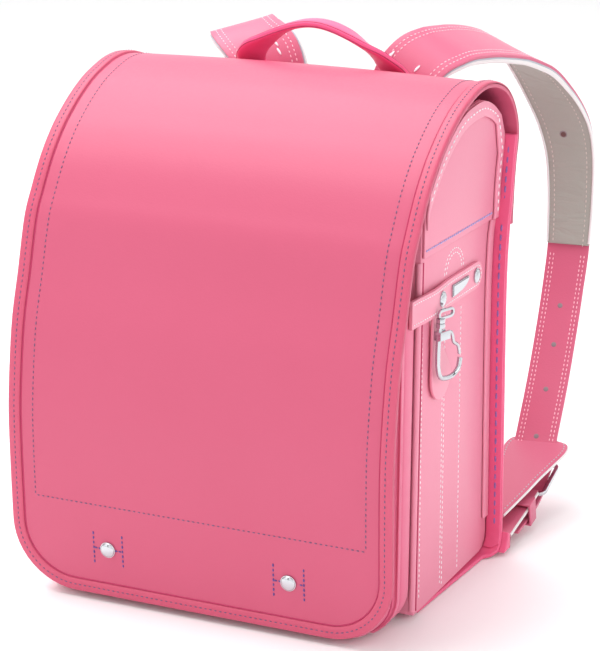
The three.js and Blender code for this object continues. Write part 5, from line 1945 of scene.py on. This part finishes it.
    def build_lower(self) -> None:
        """Dresses the guard, the buckle, the lower strap, the keeper and the anchor."""
        finishes = (
            ("short_strap", "lower_strap", BAND, 0.7, "strap_leather"),
            ("keeper_loop", "strap_keeper", BAND, 0.5, "strap_leather"),
            ("corner_tab", "strap_anchor", EDGE, 0.8, "strap_leather"),
            ("buckle_frame", "buckle", METAL, 0.8, "metal"),
        )
        for name, node, finish, bevel, slot in finishes:
            obj = from_node(f"{name}_{self.side}", f"{node}_{self.side}", finish, bevel)
            settle(obj, [f"{node}_{self.side}"])
        guard = self.lower_sections(GUARD_ROWS, self.guard_width, 48)
        wall = self.guard_wall / 2
        obj = self.band(f"guard_leaf_{self.side}", guard, -wall, wall, BAND, 0.0, 0.9)
        settle(obj, [f"strap_guard_{self.side}"])
        top = 1 if guard[20][2].z > 0 else -1
        rows: list[Stitch] = []
        for edge in (-1, 1):
            path = []
            for c, w, n, width in guard[2:-5]:
                path.append((c + w * edge * (width / 2 - 2.6) + n * top * wall, n * top))
            rows += march(path, 3.4)
        SEWING.sew(f"guard_stitches_{self.side}", rows, Thread.SILVER, 2.3, 0.9, 0.8)
        short = self.lower_sections(LOWER_ROWS, lambda _: self.lower_width, 24)
        for edge, label in ((0.5, "outer"), (-0.5, "inner")):
            self.edging(f"guard_edge_{label}_{self.side}", guard[1:-2], edge, 0.0, self.guard_edge, PIPING)
            self.edging(f"short_edge_{label}_{self.side}", short[1:-1], edge, 0.0, self.short_edge, PIPING)

    def build(self) -> None:
        """Builds the strap."""
        self.build_strap()
        self.build_stitches()
        self.build_holes()
        self.build_lower()


# Studio


# Soft area lights: name, place and size in metres, power in watts
LAMPS = (
    ("top_box", (-0.55, 0.1, 1.9), (1.9, 1.7), 40.0),
    ("right_box", (1.8, -0.3, 0.9), (1.2, 1.4), 4.0),
    ("front_box", (-0.9, -1.9, 0.9), (1.4, 1.2), 2.0),
)
# Directions that are square to the dark uprights of the room
DARK_UPRIGHTS = ((0.55, 0.83, 0.0), (0.96, -0.26, 0.0), (-0.35, 0.94, 0.0))


@dataclass
class Studio:
    """Pale floor, soft lights and the camera at the photograph's angle."""

    eye: tuple[float, float, float] = (640.0, -1331.8, 596.8)
    aim: tuple[float, float, float] = (25.07, 3.55, 176.6)
    roll: float = 0.43
    lens: float = 127.35
    room_strength: float = 1.28

    def build_camera(self) -> None:
        """Sets the camera."""
        data = bpy.data.cameras.new("camera")
        data.lens, data.sensor_width, data.sensor_fit = self.lens, 36.0, "AUTO"
        data.clip_start, data.clip_end = 0.05, 20.0
        camera = linked("camera", data)
        eye, aim = Vector(self.eye) * MM, Vector(self.aim) * MM
        look = (aim - eye).to_track_quat("-Z", "Y").to_matrix().to_4x4()
        turn = Matrix.Rotation(math.radians(self.roll), 4, "Z")
        camera.matrix_world = Matrix.Translation(eye) @ look @ turn
        bpy.context.scene.camera = camera

    def add_light(
        self, name: str, place: tuple[float, float, float], size: tuple[float, float], power: float
    ) -> None:
        """Adds one soft area light that points at the bag.

        Args:
            name: light name.
            place: its place in metres.
            size: its width and height in metres.
            power: its power in watts.
        """
        data = bpy.data.lights.new(name, "AREA")
        data.shape, data.size, data.size_y, data.energy = "RECTANGLE", size[0], size[1], power
        light = linked(name, data)
        light.location = place
        toward = Vector((0.0, 0.03, 0.17)) - Vector(place)
        light.rotation_euler = toward.to_track_quat("-Z", "Y").to_euler()

    def build_floor(self) -> None:
        """Lays the pale floor."""
        mesh = bpy.data.meshes.new("floor")
        mesh.from_pydata([(-6, -6, 0), (6, -6, 0), (6, 6, 0), (-6, 6, 0)], [], [(0, 1, 2, 3)])
        floor = linked("floor", mesh)
        # matt studio paper
        mat = bpy.data.materials.new("studio_paper")
        mat.use_nodes = True
        shader = mat.node_tree.nodes["Principled BSDF"]
        shader.inputs["Base Color"].default_value = hex_colour("#FBFBFB")
        shader.inputs["Roughness"].default_value = 0.9
        mesh.materials.append(mat)
        floor.location.z = -0.0004

    def build_room(self) -> None:
        """Lights the room evenly, but for dark uprights that give the polished metal its contrast."""
        world = bpy.data.worlds.new("room")
        world.use_nodes = True
        sky = world.node_tree.nodes["Background"]
        sky.inputs["Strength"].default_value = self.room_strength
        tree = world.node_tree
        toward = add_node(tree, "ShaderNodeTexCoord").outputs["Generated"]
        band: bpy.types.NodeSocket | None = None
        for across in DARK_UPRIGHTS:
            dot = add_node(tree, "ShaderNodeVectorMath", {"operation": "DOT_PRODUCT", 1: across}, {0: toward})
            size = add_node(tree, "ShaderNodeMath", {"operation": "ABSOLUTE"}, {0: dot.outputs["Value"]})
            fade = add_node(
                tree, "ShaderNodeMapRange", {"From Min": 0.06, "From Max": 0.13}, {"Value": size.outputs[0]}
            )
            share = fade.outputs["Result"]
            if band is None:
                band = share
            else:
                links = {0: band, 1: share}
                band = add_node(tree, "ShaderNodeMath", {"operation": "MULTIPLY"}, links).outputs[0]
        height = add_node(tree, "ShaderNodeSeparateXYZ", {}, {0: toward}).outputs["Z"]
        below = add_node(tree, "ShaderNodeMath", {"operation": "LESS_THAN", 1: 0.02}, {0: height})
        light = add_node(tree, "ShaderNodeMath", {"operation": "MAXIMUM"}, {0: band, 1: below.outputs[0]})
        shades = {"To Min": 0.08, "To Max": 1.0}
        level = add_node(tree, "ShaderNodeMapRange", shades, {"Value": light.outputs[0]})
        tree.links.new(level.outputs["Result"], sky.inputs["Color"])
        bpy.context.scene.world = world

    def build(self) -> None:
        """Builds the studio."""
        self.build_camera()
        self.build_floor()
        self.build_room()
        for name, place, size, power in LAMPS:
            self.add_light(name, place, size, power)
        bpy.context.scene.view_settings.view_transform = "Standard"


def main() -> None:
    """Builds every sub-assembly in order and reports each piece."""
    logging.basicConfig(level=logging.INFO, format="%(message)s")
    Studio().build()
    Flap().build()
    Compartments().build()
    for side in ("right", "left"):
        SidePanel(side).build()
        SideBelt(side).build()
        ShoulderStrap(side).build()
    Hook().build()
    CarryHandle().build()
    settle(from_node("strap_bracket_cover", "strap_bracket", EDGE, 1.5), ["strap_bracket"])


if __name__ == "__main__":
    main()
